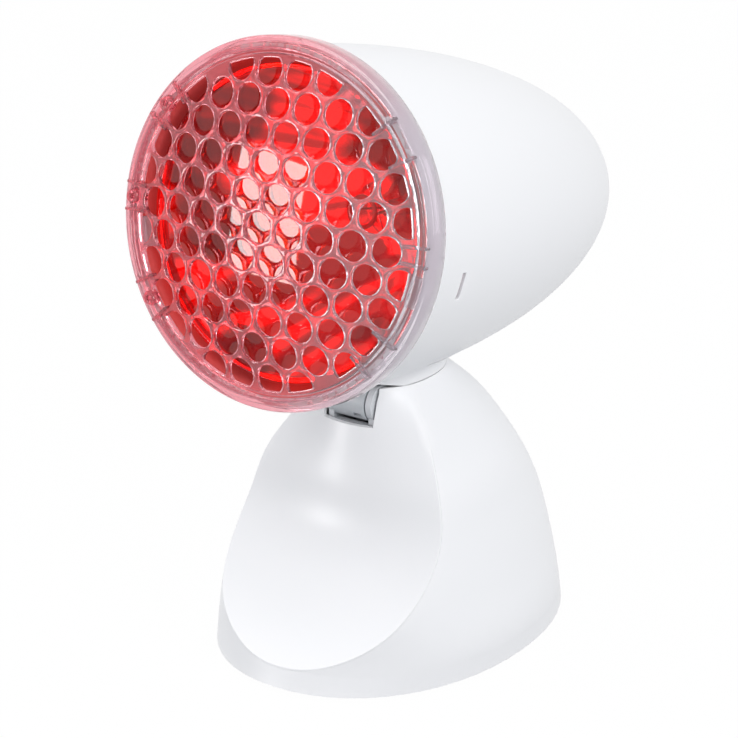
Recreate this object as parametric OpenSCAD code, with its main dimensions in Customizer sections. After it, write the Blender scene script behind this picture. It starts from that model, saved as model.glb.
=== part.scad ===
// Infrared heat therapy lamp: a bullet shaped lamp head on a bell shaped table stand.
// Millimetres, +Z up, the face of the lamp looks towards -Y, the symmetry plane is x = 0.
// z = 0 is the plane under the rubber feet, x = y = 0 the middle of the footprint and of its
// centre pad.
// The head is drawn as in the photo: tipped back, at the upper end of its travel.

/* [Head] */
// air gap between the widest part of the bulb and the head shell
bulb_gap = 4.4; // [3.6:0.1:5]
// distance from the guard plane to the back tip of the head shell
shell_len = 221; // [205:1:235]
// wall of the head shell
shell_wall = 2.4; // [1.8:0.1:3]
// how far the lamp face looks up as drawn, degrees
head_tilt = 10; // [8:0.5:11]
// guard centre, along y
head_y = -77.8; // [-80:0.2:-76]
// height of the underside of the shell, taken square to its axis, above the stand's rim
neck_gap = 12.6; // [11.9:0.1:14]

/* [Guard] */
// diameter of one finger hole
hole_d = 11.6; // [8:0.1:12.2]
// spacing of the finger holes
hole_pitch = 13.35; // [13.35:0.01:13.4]
// width of the plain rim round the field of holes
rim_w = 7; // [6.5:0.5:9]
// rise of the dome over the field
dome_sag = 9.2; // [6:0.2:12]
// wall of the guard
guard_wall = 2; // [1.5:0.1:2.4]
// gap between the guard skirt and the head shell
skirt_gap = 1.7; // [1.2:0.1:2.4]
// depth of the guard skirt over the head shell
skirt_depth = 9; // [6:0.5:12]

/* [Bulb] */
// radius of the reflector bulb at its lens
bulb_r = 60.5; // [56:0.5:60.8]
// overall length of the bulb
bulb_len = 136; // [134:0.5:137]
// how far the lens edge sits behind the guard plane
bulb_recess = 4; // [3:0.5:12]
// glass thickness
glass = 2.5; // [1.5:0.1:3]
// radius of the screw cap
cap_r = 13.3; // [12.8:0.1:13.4]

/* [Holder] */
// outer radius of the ceramic lamp holder
holder_r = 20; // [18.5:0.5:21.5]
// inner radius of the holder
holder_bore_r = 14.6; // [14.4:0.1:15.5]
// length of the holder
holder_len = 44; // [40:1:46]
// radius of the heat shield in front of the holder
shield_r = 42; // [34:0.5:43]

/* [Stand] */
// half width of the foot
base_half_w = 63.5; // [60:0.5:70]
// half length of the foot
base_half_l = 83.5; // [80:0.5:92]
// height of the stand's upper rim
stand_h = 113; // [111:0.2:113]
// wall of the stand shells
stand_wall = 2.2; // [1.8:0.1:2.6]
// fullness of the plan section, 2 is an ellipse
plan_power = 2.13; // [2:0.01:2.4]
// height of the rubber feet under the rim
foot_h = 2; // [1.5:0.1:3]
// depth of the notch below the upper rim
notch_depth = 15; // [14:0.5:18]

/* [Tilt joint] */
// tilt axis, along y
pivot_y = -24; // [-24.4:0.1:-23]
// tilt axis, depth below the stand's upper rim
pivot_drop = 7; // [6.6:0.2:8]
// radius of the detent barrel
barrel_r = 8; // [7:0.1:8.3]
// half length of the detent barrel
barrel_half = 7.6; // [6.5:0.1:7.7]
// radius of the hinge pin
pin_r = 2.5; // [2:0.1:3]
// running clearance of the pin, radial
pin_clear = 0.05; // [0.02:0.01:0.1]
// thickness of one friction washer
washer_t = 0.4; // [0.3:0.05:0.5]
// thickness of one fork lug
lug_t = 2.6; // [2.2:0.1:3.2]
// thickness of the pin's head
pin_head_t = 1; // [0.8:0.1:1.3]
// gap between the pin's head and the side of the notch
notch_clear = 0.1; // [0.1:0.1:1]
// angle between two click positions
click_step = 5; // [4:0.5:6]

/* [Switch] */
// width of the rocker opening
switch_w = 13; // [11:0.5:15]
// height of the rocker opening
switch_h = 19; // [17:0.5:22]
// gap between the switch and the flange of the cord gland below it
switch_gap = 1.9; // [1:0.1:6]
// radial clearance of the rocker on its trunnion
rocker_clear = 0.05; // [0.02:0.01:0.1]

/* [Cord gland] */
// radius of the cord hole through the gland
cord_r = 3.3; // [2.8:0.1:3.8]
// radius of the gland body
gland_r = 6; // [5.2:0.1:6.5]
// height of the gland above the table
gland_z = 24; // [22:0.5:26]

/* [Fasteners] */
// radius of a screw shank
screw_r = 1.4; // [1.2:0.1:1.6]
// radius of a screw head
screw_head_r = 2.8; // [2.4:0.1:3]
// radius of a screw boss
boss_r = 4; // [3.5:0.1:4.5]

/* [Hidden] */
fine = 120;
shell_r = bulb_r + bulb_gap + shell_wall;   // outer radius of the head shell behind the guard
guard_r = shell_r + skirt_gap + guard_wall; // outer radius of the guard
field_r = guard_r - rim_w;                  // radius of the field of holes
head_z = stand_h + neck_gap + shell_r;      // guard centre
pivot_z = stand_h - pivot_drop;
notch_z = stand_h - notch_depth;            // lower edge of the notch
// ---- head frame: local z runs out of the lamp face, local y up, s = distance behind the guard
function law(s, r, l) = r * pow(max(0, 1 - pow(max(0, s) / l, 2.125)), 0.491);
function shell_out(s) = law(s, shell_r, shell_len);
function shell_in(s) = law(s, shell_r - shell_wall, shell_len - shell_wall);
function steps(n) = [for (i = [0:n]) 1 - pow(1 - i / n, 1.7)];
apex = dome_sag + 3.4;
dome_R = (field_r * field_r + dome_sag * dome_sag) / (2 * dome_sag);
module in_head() translate([0, head_y, head_z]) rotate([90 - head_tilt, 0, 0]) children();
module back(s) translate([0, 0, -s]) children();
// a solid of revolution about the lamp axis from a list of [radius, z] points
module turned(p, fn = fine) rotate_extrude($fn = fn) polygon(p);
module head_solid(r, l, n = 30, fn = fine, s0 = 1)
  turned(concat([[0, -s0]], [for (t = steps(n)) let (s = s0 + (l - s0) * t) [law(s, r, l), -s]]), fn);
// ---- stand sections: shape laws as fractions of the foot size at seven levels
lev = [0, 0.12, 0.3, 0.5, 0.7, 0.86, 1];
w_law = [1, 1, 0.921, 0.819, 0.701, 0.504, 0.331];
r_law = [1, 0.958, 0.946, 0.886, 0.713, 0.557, 0.33];
f_law = [1, 0.958, 0.958, 0.886, 0.754, 0.581, 0.365];
// the front panel: y of its edge line and how far its middle stands proud of the edge
e_law = [1.078, 0.878, 0.617, 0.41, 0.326, 0.231, 0.15];
b_law = [0.036, 0.05, 0.1, 0.12, 0.145, 0.172, 0.24];
function slope(k, i) = i == 0 ? (k[1] - k[0]) / (lev[1] - lev[0])
  : i == 6 ? (k[6] - k[5]) / (lev[6] - lev[5])
  : ((k[i + 1] - k[i]) / (lev[i + 1] - lev[i]) * (lev[i] - lev[i - 1])
    + (k[i] - k[i - 1]) / (lev[i] - lev[i - 1]) * (lev[i + 1] - lev[i])) / (lev[i + 1] - lev[i - 1]);
function seg(u, i = 0) = (i >= 5 || u <= lev[i + 1]) ? i : seg(u, i + 1);
function curve(k, z) = let (u = min(1, max(0, z / stand_h)), i = seg(u), h = lev[i + 1] - lev[i],
    t = (u - lev[i]) / h, a = t * t * t, b = t * t)
  (2 * a - 3 * b + 1) * k[i] + (a - 2 * b + t) * h * slope(k, i)
  + (3 * b - 2 * a) * k[i + 1] + (a - b) * h * slope(k, i + 1);
function sgn(v) = v < 0 ? -1 : 1;
function half_w(z) = base_half_w * curve(w_law, z);
function mid_y(z) = -0.036 * base_half_l * z / stand_h;
function ring(z, off, n = 72) = [for (i = [0:n - 1]) outline(360 * i / n, z, off)];
function front_y(x, z) = let (b = base_half_l * curve(b_law, z), w = half_w(z))
  -base_half_l * curve(e_law, z) - b * (1 - pow(min(1.3, abs(x) / w), 2));
// closed loft through a list of equal rings
module loft(rings) {
  n = len(rings[0]);
  m = len(rings);
  polyhedron(points = [for (r = rings) each r], convexity = 6, faces = concat(
    [[for (i = [0:n - 1]) i]], [[for (i = [n - 1:-1:0]) (m - 1) * n + i]],
    [for (j = [0:m - 2], i = [0:n - 1]) [j * n + i, (j + 1) * n + i, j * n + (i + 1) % n]],
    [for (j = [0:m - 2], i = [0:n - 1])
      [j * n + (i + 1) % n, (j + 1) * n + i, (j + 1) * n + (i + 1) % n]]));
}
// closed wall between an outer and an inner grid of points; rows run up, columns run to the
// right as seen from outside, and the rows up to row `shut` close on themselves
module wall_between(a, b, shut = -1) {
  nz = len(a) - 1;
  nx = len(a[0]) - 1;
  k = (nx + 1) * (nz + 1);
  function p(i, j) = j * (nx + 1) + (i == nx && j <= shut ? 0 : i);
  function q(i, j) = k + p(i, j);
  polyhedron(points = concat([for (r = a) each r], [for (r = b) each r]), convexity = 8, faces = concat(
    [for (j = [0:nz - 1], i = [0:nx - 1]) each [
      [p(i, j), p(i, j + 1), p(i + 1, j)], [p(i + 1, j), p(i, j + 1), p(i + 1, j + 1)],
      [q(i, j), q(i + 1, j), q(i, j + 1)], [q(i + 1, j), q(i + 1, j + 1), q(i, j + 1)]]],
    [for (i = [0:nx - 1]) each [
      [p(i, 0), p(i + 1, 0), q(i, 0)], [p(i + 1, 0), q(i + 1, 0), q(i, 0)],
      [p(i + 1, nz), p(i, nz), q(i, nz)], [p(i + 1, nz), q(i, nz), q(i + 1, nz)]]],
    [for (j = [max(0, shut):nz - 1]) each [
      [p(0, j + 1), p(0, j), q(0, j)], [p(0, j + 1), q(0, j), q(0, j + 1)],
      [p(nx, j), p(nx, j + 1), q(nx, j)], [p(nx, j + 1), q(nx, j + 1), q(nx, j)]]]));
}
// point of the section outline at angle q, drawn in by off
function outline(q, z, off) = let (c = cos(q), s = sin(q),
    l = base_half_l * curve(s > 0 ? r_law : f_law, z))
  [sgn(c) * (half_w(z) - off) * pow(abs(c), 2 / plan_power),
   mid_y(z) + sgn(s) * (l - off) * pow(abs(s), 2 / plan_power), z];
// how far the front surface, moved back by d, lies behind the front of the section outline at x
function behind(x, z, d, off) = front_y(x, z) + d - mid_y(z)
  + (base_half_l * curve(f_law, z) - off)
  * pow(max(0, 1 - pow(x / (half_w(z) - off), plan_power)), 1 / plan_power);
// half width of the front surface where it leaves the outline, and the height of its lowest point
function edge_x(z, d, off, a = 0, b = -1, n = 24) = b < 0 ? edge_x(z, d, off, 0, half_w(z) - off)
  : n == 0 ? a
  : let (c = (a + b) / 2) behind(c, z, d, off) > 0 ? edge_x(z, d, off, c, b, n - 1)
  : edge_x(z, d, off, a, c, n - 1);
function tip_z(d, off, a = 0, b = 60, n = 24) = n == 0 ? b
  : let (c = (a + b) / 2) behind(0, c, d, off) > 0 ? tip_z(d, off, a, c, n - 1)
  : tip_z(d, off, c, b, n - 1);
// heights up the edge of the front surface, closer together near its lowest point
function edge_levels(d, off, n = 22) = let (z = tip_z(d, off))
  [for (j = [0:n]) z + (stand_h - z) * pow(j / n, 1.6)];
// the front surface moved back by d, as rows of points across it
function front_rows(d, nx = 20) = [for (h = edge_levels(d, 0))
  let (z = max(h, tip_z(d, 0) + 0.1), x = edge_x(z, d, 0))
  [for (i = [0:nx]) [x * (2 * i / nx - 1), front_y(x * (2 * i / nx - 1), z) + d, z]]];
// the outline behind the front surface, drawn in by off, as rows round it from the foot up
low_rows = 3;
function shell_rows(off, nx = 50) = let (e = edge_levels(stand_wall, off))
  [for (z = concat([for (j = [0:low_rows - 1]) foot_h + (e[0] - foot_h) * j / low_rows], e))
    let (q = z > e[0] ? -acos(pow(edge_x(z, stand_wall, off) / (half_w(z) - off), plan_power / 2)) : -90)
    [for (i = [0:nx]) outline(q + (180 - 2 * q) * i / nx, z, off)]];
// straight round rod from a to b, and a wire through a list of points
module rod(a, b, r) {
  d = b - a;
  h = norm(d);
  translate(a) rotate([0, acos(d[2] / h), atan2(d[1], d[0])]) cylinder(r = r, h = h, $fn = 16);
}
module wire(p, r) {
  for (i = [0:len(p) - 2]) rod(p[i], p[i + 1], r);
  for (i = [1:len(p) - 2]) translate(p[i]) sphere(r = r + 0.08, $fn = 16);
}
module along_x(x0, x1, r, fn = 48)
  translate([x0, 0, 0]) rotate([0, 90, 0]) cylinder(r = r, h = x1 - x0, $fn = fn);
module at_pivot() translate([0, pivot_y, pivot_z]) children();
module box(a, b) translate(a) cube(b - a);

// ---- derived places
lens_s = bulb_recess - 5;              // lens apex
bulb_end = lens_s + bulb_len;          // tip of the centre contact
cap_s = bulb_end - 31;                 // front of the screw cap
holder_s = cap_s - 1;                  // front of the holder
holder_end = holder_s + holder_len;    // rear face of the holder
strap_s = holder_s + 22;               // front of the holder strap
strap_x = 41;                          // post centres of the strap
plate_z = head_z - shell_r - 1.6;      // underside of the tilt bracket plate
hook_a = 12.5;                         // hooks below the sides of the guard
hook_s = 30;                           // middle of the hook windows
arm_r = shell_r - shell_wall - 1.3;    // outer face of a hook arm
lug_x = barrel_half + 0.3 + washer_t;  // inner face of a fork lug
frame_x = lug_x + lug_t;               // outer face of the frame
notch_half_w = frame_x + pin_head_t + notch_clear; // half width of the notch under the guard
lug_r = 7.5;                           // radius of a lug round the pin
frame_y = front_y(frame_x, notch_z) + stand_wall + 0.45; // front face of the frame, below the lugs
neck_y = pivot_y - 4.5;                // front face of the bracket's neck
floor_z = foot_h + 1;                  // underside of the base plate
deck_z = floor_z + 3;                  // top of the base plate
sector_r = 26;                         // rim of the click sector
travel = 4 * click_step;               // full travel of the head
boss_xy = [[-46, 34], [46, 34], [-46, -28], [46, -28]];
frame_xy = [[-19, -36], [19, -36], [-19, 18], [19, 18]];
foot_x = base_half_w - 23.5;           // places of the corner pads
foot_y = base_half_l - 33.5;
feet_xy = [[-foot_x, -foot_y], [foot_x, -foot_y], [-foot_x, foot_y], [foot_x, foot_y], [0, 0]];
post_z = [40, 78];                     // screw posts of the front panel
plate_xy = [[-13, 0], [13, 0], [-13, 20], [13, 20]];
block_x = [-10, 0, 10];                // terminals
block_y = [42.5, 47.5];                // rows of terminal screws
foot_r = 6;                            // radius of a rubber foot
apron_x = 12;                          // half width of the collar's apron
// the apron's radius about the tilt axis reaches into the collar's rear wall
apron_r = 0.8 - pivot_y + mid_y(stand_h) + (base_half_l * curve(r_law, stand_h) - stand_wall)
  * pow(1 - pow(apron_x / (half_w(stand_h) - stand_wall), plan_power), 1 / plan_power);
lead_r = 1.1;                          // radius of a lead
terminal_r = 1.6;                      // radius of a terminal screw
ballast_t = 5;                         // thickness of the ballast
gland_flange_r = gland_r + 2.6;        // radius of the gland's flange
bezel_w = 2;                           // width of the switch's rim
switch_z = gland_z + gland_flange_r + switch_gap + bezel_w + switch_h / 2;
function rear_y(z) = mid_y(z) + base_half_l * curve(r_law, z);
switch_y = rear_y(switch_z);
switch_a = atan((rear_y(switch_z - 6) - rear_y(switch_z + 6)) / 12);
module at_switch() translate([0, switch_y, switch_z]) rotate([switch_a, 0, 0]) children();
function switch_point(x, y, z) = [x, switch_y + y * cos(switch_a) - z * sin(switch_a),
  switch_z + y * sin(switch_a) + z * cos(switch_a)];
function head_point(x, s, v) = [x, head_y + s * cos(head_tilt) + v * sin(head_tilt),
  head_z - s * sin(head_tilt) + v * cos(head_tilt)];

// ================= head =================
module ridge(a0, a1) rotate([0, 0, a0]) rotate_extrude(angle = a1 - a0, $fn = fine)
  polygon([[field_r + 2.2, 1.5], [field_r + 2.5, 4.3], [field_r + 4.2, 4.1], [field_r + 4.6, 1.2]]);
module bar(a) rotate([90, 0, a]) translate([0, 0, -0.6]) linear_extrude(1.2)
  polygon([[field_r - 5, 3], [field_r - 5, 5.6], [field_r + 2.4, 4.6], [field_r + 5.4, 3.9],
    [field_r + 5.4, 0.8], [field_r, 0.8]]);
module hook_arm() {
  box([arm_r - 1.2, -6, -14], [arm_r + 0.6, 6, -0.2]);
  box([arm_r - 1.8, -6, -hook_s - 2.4], [arm_r, 6, -13]);
  box([arm_r - 0.5, -4.6, -hook_s - 1.1], [arm_r + 2.2, 4.6, -hook_s + 1.1]);
}
module guard() color([0.93, 0.92, 0.94, 0.5]) in_head() {
  difference() {
    union() {
      intersection() {
        translate([0, 0, apex - dome_R]) difference() {
          sphere(r = dome_R, $fn = 200);
          sphere(r = dome_R - guard_wall, $fn = 200);
        }
        translate([0, 0, -2]) cylinder(r = field_r - 0.5, h = 30, $fn = fine);
      }
      turned([[field_r - 1, -1], [guard_r - guard_wall, -1], [guard_r - guard_wall, 2 - skirt_depth],
        [guard_r, 2 - skirt_depth], [guard_r, 1.2], [guard_r - 0.7, 1.9], [field_r - 1, 3.5]]);
    }
    intersection() {
      for (j = [-5:5], i = [-5:5]) {
        x = (i + (j % 2 == 0 ? 0 : 0.5)) * hole_pitch;
        y = j * hole_pitch * sqrt(3) / 2;
        if (norm([x, y]) < field_r - 0.6)
          translate([x, y, -2]) cylinder(r = hole_d / 2, h = 24, $fn = 40);
      }
      translate([0, 0, -3]) cylinder(r = field_r - 1, h = 30, $fn = fine);
    }
  }
  for (q = [[-31, 31], [44.4, 138], [151.4, 208.6], [222, 315.6]]) ridge(q[0], q[1]);
  for (a = [-44.4, -31, -3, 3, 31, 44.4, 138, 151.4, 175.5, 184.5, 208.6, 222]) bar(a);
  rotate([0, 0, -hook_a]) hook_arm();
  rotate([0, 0, 180 + hook_a]) hook_arm();
}
module head_shell() color([0.95, 0.95, 0.96]) difference() {
  union() {
    difference() {
      in_head() difference() {
        head_solid(shell_r, shell_len);
        head_solid(shell_r - shell_wall, shell_len - shell_wall, s0 = 0.5);
        for (a = [-hook_a, 180 + hook_a]) rotate([0, 0, a])
          box([arm_r - 2, -5.5, -hook_s - 1.3], [shell_r + 3, 5.5, -hook_s + 1.3]);
        for (s = [128, 135, 142]) box([-15, 30, -s - 1], [15, shell_r, -s + 1]);
      }
      // mouth for the joint
      box([-8.4, pivot_y - 8.4, plate_z - 16], [8.4, pivot_y + 17, plate_z + 2]);
    }
    intersection() {
      union() {
        for (q = plate_xy) translate([q[0], pivot_y + q[1], plate_z - 18])
          cylinder(r = boss_r, h = 18, $fn = 32);
        in_head() for (x = [-strap_x, strap_x]) translate([x, 0, -shell_len])
          cylinder(r = boss_r, h = shell_len - strap_s - 1.6, $fn = 32);
      }
      in_head() head_solid(shell_r - shell_wall / 2, shell_len - shell_wall / 2);
    }
  }
  for (q = plate_xy) translate([q[0], pivot_y + q[1], plate_z - 3.5])
    cylinder(r = screw_r, h = 5, $fn = 24);
  in_head() for (x = [-strap_x, strap_x]) translate([x, 0, -strap_s - 12])
    cylinder(r = screw_r, h = 12, $fn = 24);
}
module neck_collar() color([0.95, 0.95, 0.96]) difference() {
  union() {
    difference() {
      loft([for (q = [[0.4, 0], [2, 0.15], [4, 0.8], [6, 2], [8, 4.2], [10, 8]])
        [for (p = ring(stand_h, -q[1])) [p[0], p[1], stand_h + q[0]]]]);
      loft([for (h = [-2, 14]) [for (p = ring(stand_h, stand_wall)) [p[0], p[1], stand_h + h]]]);
      // front of the lower edge rises so that it clears the rim when the face tips down
      translate([0, pivot_y + 5, stand_h + 0.4]) rotate([-14, 0, 0]) box([-40, -40, -20], [40, 0, 0]);
    }
    // curved apron that keeps the neck closed while the rear of the collar lifts
    at_pivot() difference() {
      along_x(-apron_x, apron_x, apron_r, 96);
      along_x(1.2 - apron_x, apron_x - 1.2, apron_r - 1.2, 96);
      along_x(-13, 13, 13);
      rotate([-26, 0, 0]) box([-13, -50, -60], [13, 60, 0]);
      rotate([60, 0, 0]) box([-13, -50, 0], [13, 60, 60]);
      rotate([60, 0, 0]) box([-13, -60, -60], [13, 0, 60]);
    }
  }
  in_head() head_solid(shell_r, shell_len, fn = 96);
}
function lens_at(r) = -(lens_s + 5 * r * r / (bulb_r * bulb_r));
function cone_at(u) = 16 + (bulb_r - 16) * pow(1 - u, 0.62);
module bulb_lens() color([0.75, 0.05, 0.04]) in_head() turned(concat(
  [for (i = [0:10]) let (r = bulb_r * i / 10) [r, lens_at(r)]],
  [for (i = [10:-1:0]) let (r = bulb_r * i / 10) [r, lens_at(r) - glass]]));
module bulb_reflector() color([0.7, 0.06, 0.05]) in_head() {
  s0 = bulb_recess + glass;
  s1 = cap_s - 9;
  turned(concat([[bulb_r, -s0], [bulb_r, -s0 - 3]],
    [for (i = [1:14]) let (u = i / 14) [cone_at(u), -(s0 + 3) - (s1 - s0 - 3) * u]],
    [[cap_r, -cap_s], [cap_r - 1.6, -cap_s]],
    [for (i = [14:-1:1]) let (u = i / 14) [cone_at(u) - 1.6, -(s0 + 3) - (s1 - s0 - 3) * u]],
    [[bulb_r - 1.8, -s0 - 3], [bulb_r - 1.8, -s0]]));
}
module bulb_cap() color([0.8, 0.78, 0.72]) in_head() turned(concat([[0, -cap_s], [cap_r, -cap_s]],
  [for (i = [0:5]) each [[cap_r - 1, -cap_s - 3 - 3.6 * i], [cap_r, -cap_s - 4.8 - 3.6 * i]]],
  [[cap_r - 1, -cap_s - 25], [11, -cap_s - 27], [0, -cap_s - 27]]));
module bulb_insulator() color([0.12, 0.1, 0.12]) in_head()
  turned([[0, -cap_s - 27], [11, -cap_s - 27], [6, -cap_s - 29.5], [0, -cap_s - 29.5]]);
module bulb_contact() color([0.75, 0.7, 0.6]) in_head()
  turned([[0, -cap_s - 29.5], [4.5, -cap_s - 29.5], [3.5, -bulb_end], [0, -bulb_end]]);
module bulb_stem() color([0.85, 0.88, 0.9]) in_head()
  turned([[0, -cap_s + 30], [3, -cap_s + 30], [4, -cap_s + 12], [cap_r - 1.6, -cap_s], [0, -cap_s]]);
module filament() color([0.6, 0.6, 0.6]) in_head() {
  for (x = [-6, 6]) rod([x / 3, 0, -cap_s + 30.2], [x, 0, -cap_s + 46], 0.5);
  translate([0, 0, -cap_s + 46]) rotate_extrude($fn = 48) translate([6, 0]) circle(r = 0.9, $fn = 16);
}
module lamp_holder() color([0.9, 0.88, 0.84]) in_head()
  turned([[holder_bore_r, -holder_s], [holder_r, -holder_s],
    [holder_r, -strap_s], [holder_r - 2, -strap_s], [holder_r - 2, -strap_s - 1.6],
    [holder_r, -strap_s - 1.6], [holder_r, -holder_end], [0, -holder_end], [0, 6 - holder_end],
    [holder_bore_r, 6 - holder_end]]);
module holder_thread() color([0.8, 0.65, 0.3]) in_head()
  turned([[holder_bore_r - 0.9, -holder_s - 6], [holder_bore_r, -holder_s - 6],
    [holder_bore_r, -holder_s - 27], [holder_bore_r - 0.9, -holder_s - 27]]);
module holder_contact() color([0.8, 0.65, 0.3]) in_head() {
  z1 = 6 - holder_end;
  translate([0, 0, z1]) cylinder(r = 3, h = -bulb_end - z1, $fn = 24);
}
module holder_strap() color([0.7, 0.72, 0.74]) in_head() back(strap_s + 1.6) difference() {
  union() {
    box([-strap_x - 5, -9, 0], [strap_x + 5, 9, 1.6]);
    cylinder(r = holder_r + 6, h = 1.6, $fn = 64);
  }
  translate([0, 0, -1]) cylinder(r = holder_r - 2, h = 4, $fn = 64);
  for (x = [-strap_x, strap_x]) translate([x, 0, -1]) cylinder(r = screw_r, h = 4, $fn = 24);
}
module one_screw(l) {
  cylinder(r = screw_r, h = l, $fn = 24);
  translate([0, 0, l]) difference() {
    cylinder(r = screw_head_r, h = 1.8, $fn = 24);
    for (a = [0, 90]) rotate([0, 0, a]) box([-1.8, -0.35, 1], [1.8, 0.35, 2]);
  }
}
module strap_screws() color([0.6, 0.62, 0.65]) in_head()
  for (x = [-strap_x, strap_x]) translate([x, 0, -strap_s - 8]) one_screw(8);
module thermal_cutout() color([0.85, 0.84, 0.8]) in_head() translate([-holder_r - 10, 0, -strap_s - 6.6]) {
  cylinder(r = 4.5, h = 5, $fn = 32);
  for (y = [-2.5, 2.5]) translate([0, y, -3]) cylinder(r = 0.8, h = 3.5, $fn = 16);
}
module heat_shield() color([0.82, 0.83, 0.85]) in_head()
  turned([[holder_r, -holder_s - 5], [holder_r, -holder_s - 6], [shield_r, -holder_s + 9],
    [shield_r, -holder_s + 10], [holder_r + 2, -holder_s - 4]]);
module tilt_bracket() color([0.62, 0.62, 0.66]) difference() {
  union() {
    at_pivot() along_x(-barrel_half, barrel_half, barrel_r);
    box([-barrel_half, neck_y, pivot_z], [barrel_half, pivot_y + 8, plate_z + 1]);
    box([-17.5, pivot_y - 6, plate_z], [17.5, pivot_y + 25, plate_z + 3]);
    at_pivot() intersection() {
      along_x(-2.5, 2.5, sector_r, 96);
      rotate([-42, 0, 0]) box([-3, 0, -40], [3, 40, 0]);
      rotate([-78, 0, 0]) box([-3, 0, 0], [3, 40, 40]);
    }
  }
  at_pivot() {
    along_x(-barrel_half - 1, barrel_half + 1, pin_r + pin_clear);
    for (k = [0:4]) rotate([-50 - click_step * k, 0, 0]) translate([0, sector_r + 0.2, 0])
      along_x(-3, 3, 0.9, 20);
    // small dark slot in the face of the barrel
    rotate([33, 0, 0]) box([2.2, -barrel_r - 1, -1], [6, -barrel_r + 1.4, 1]);
  }
  for (q = plate_xy) translate([q[0], pivot_y + q[1], plate_z - 1]) cylinder(r = screw_r, h = 5, $fn = 24);
  translate([0, pivot_y + 16, plate_z - 1]) cylinder(r = 5, h = 5, $fn = 32);
}
module bracket_screws() color([0.6, 0.62, 0.65])
  for (q = plate_xy) translate([q[0], pivot_y + q[1], plate_z - 3]) one_screw(6);
// two leads through the bracket, round the heat shield and the strap to the back of the holder
module lead_head() color([0.8, 0.1, 0.1]) for (x = [-2.2, 2.2])
  wire([[x, pivot_y + 14.5, plate_z - 14], [x, pivot_y + 15.5, plate_z + 7],
    [x, pivot_y + 28, plate_z + 4.6], [x, pivot_y + 35, plate_z - 3.6],
    head_point(x, holder_s + 14, -holder_r - 20), head_point(x * 2, holder_end + 4, -holder_r - 4),
    head_point(x * 3, holder_end + 16, -6), head_point(x * 3, holder_end + 0.5, 0)], lead_r);

// ================= tilt joint and stand =================
module hinge_pin() color([0.7, 0.72, 0.75]) at_pivot() {
  along_x(-frame_x - pin_head_t, frame_x, pin_r, 32);
  along_x(frame_x, frame_x + pin_head_t, pin_r + 1.6, 32);
}
module pin_clip() color([0.45, 0.46, 0.48]) at_pivot() difference() {
  along_x(-frame_x - 0.8, -frame_x, pin_r + 1.8, 32);
  along_x(-frame_x - 1.5, -frame_x + 1, pin_r, 32);
}
module friction_washers() color([0.2, 0.2, 0.22]) at_pivot() for (s = [-1, 1]) difference() {
  along_x(s > 0 ? lug_x - washer_t : -lug_x, s > 0 ? lug_x : washer_t - lug_x, lug_r - 1);
  along_x(-20, 20, pin_r, 32);
}
module detent_spring() color([0.75, 0.76, 0.78]) at_pivot() rotate([-50, 0, 0]) {
  translate([0, sector_r + 1.3, 0]) along_x(-2, 2, 0.9, 20);
  box([-2, sector_r + 1.3, -9], [2, sector_r + 1.9, 9]);
  spring_ends();
}
module spring_ends() translate([0, sector_r + 1.6, 0])
  for (z = [-9, 9]) box([-lug_x, 0, z - 1], [lug_x, 1.2, z + 1]);
module neck_frame() color([0.62, 0.62, 0.66]) difference() {
  union() {
    for (s = [-1, 1]) translate([s > 0 ? 0 : -lug_t, 0, 0]) translate([s * lug_x, 0, 0]) {
      at_pivot() along_x(0, lug_t, lug_r);
      box([0, frame_y, deck_z], [lug_t, pivot_y + lug_r, pivot_z]);
      box([0, frame_y, deck_z], [lug_t, pivot_y + 34, pivot_z - 34]);
    }
    box([-lug_x, frame_y, deck_z], [lug_x, frame_y + 2.5, pivot_z - barrel_r - 0.6]);
    box([-lug_x, pivot_y + 31, deck_z], [lug_x, pivot_y + 34, pivot_z - 40]);
    box([-26, -44, deck_z], [26, 26, deck_z + 3]);
  }
  at_pivot() along_x(-frame_x - 2, frame_x + 2, pin_r, 32);
  for (z = post_z) translate([0, frame_y - 1, z]) rotate([-90, 0, 0]) cylinder(r = screw_r, h = 5, $fn = 24);
  for (q = frame_xy) translate([q[0], q[1], deck_z - 1]) cylinder(r = screw_r, h = 6, $fn = 24);
  box([-5, -12, deck_z - 1], [5, 4, deck_z + 4]);
}
module frame_screws() color([0.6, 0.62, 0.65])
  for (q = frame_xy) translate([q[0], q[1], deck_z - 2]) one_screw(5);
module front_panel() color([0.96, 0.96, 0.97]) {
  difference() {
    wall_between(front_rows(0), front_rows(stand_wall));
    box([-notch_half_w, -60, notch_z], [notch_half_w, 0, stand_h + 5]);
  }
  // screw posts that end in the middle of the wall
  for (z = post_z) {
    y = front_y(0, z) + stand_wall / 2;
    lean = atan((front_y(0, z + boss_r) - front_y(0, z - boss_r)) / (2 * boss_r));
    difference() {
      translate([0, frame_y, z]) rotate([90, 0, 0]) cylinder(r = boss_r, h = frame_y - y + 6, $fn = 28);
      translate([0, frame_y + 1, z]) rotate([90, 0, 0]) cylinder(r = screw_r, h = 7, $fn = 20);
      translate([0, y, z]) rotate([-lean, 0, 0]) box([-8, -20, -12], [8, 0, 12]);
    }
  }
}
module panel_screws() color([0.6, 0.62, 0.65])
  for (z = post_z) translate([0, frame_y - 5, z]) rotate([-90, 0, 0]) one_screw(7.5);
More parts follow.
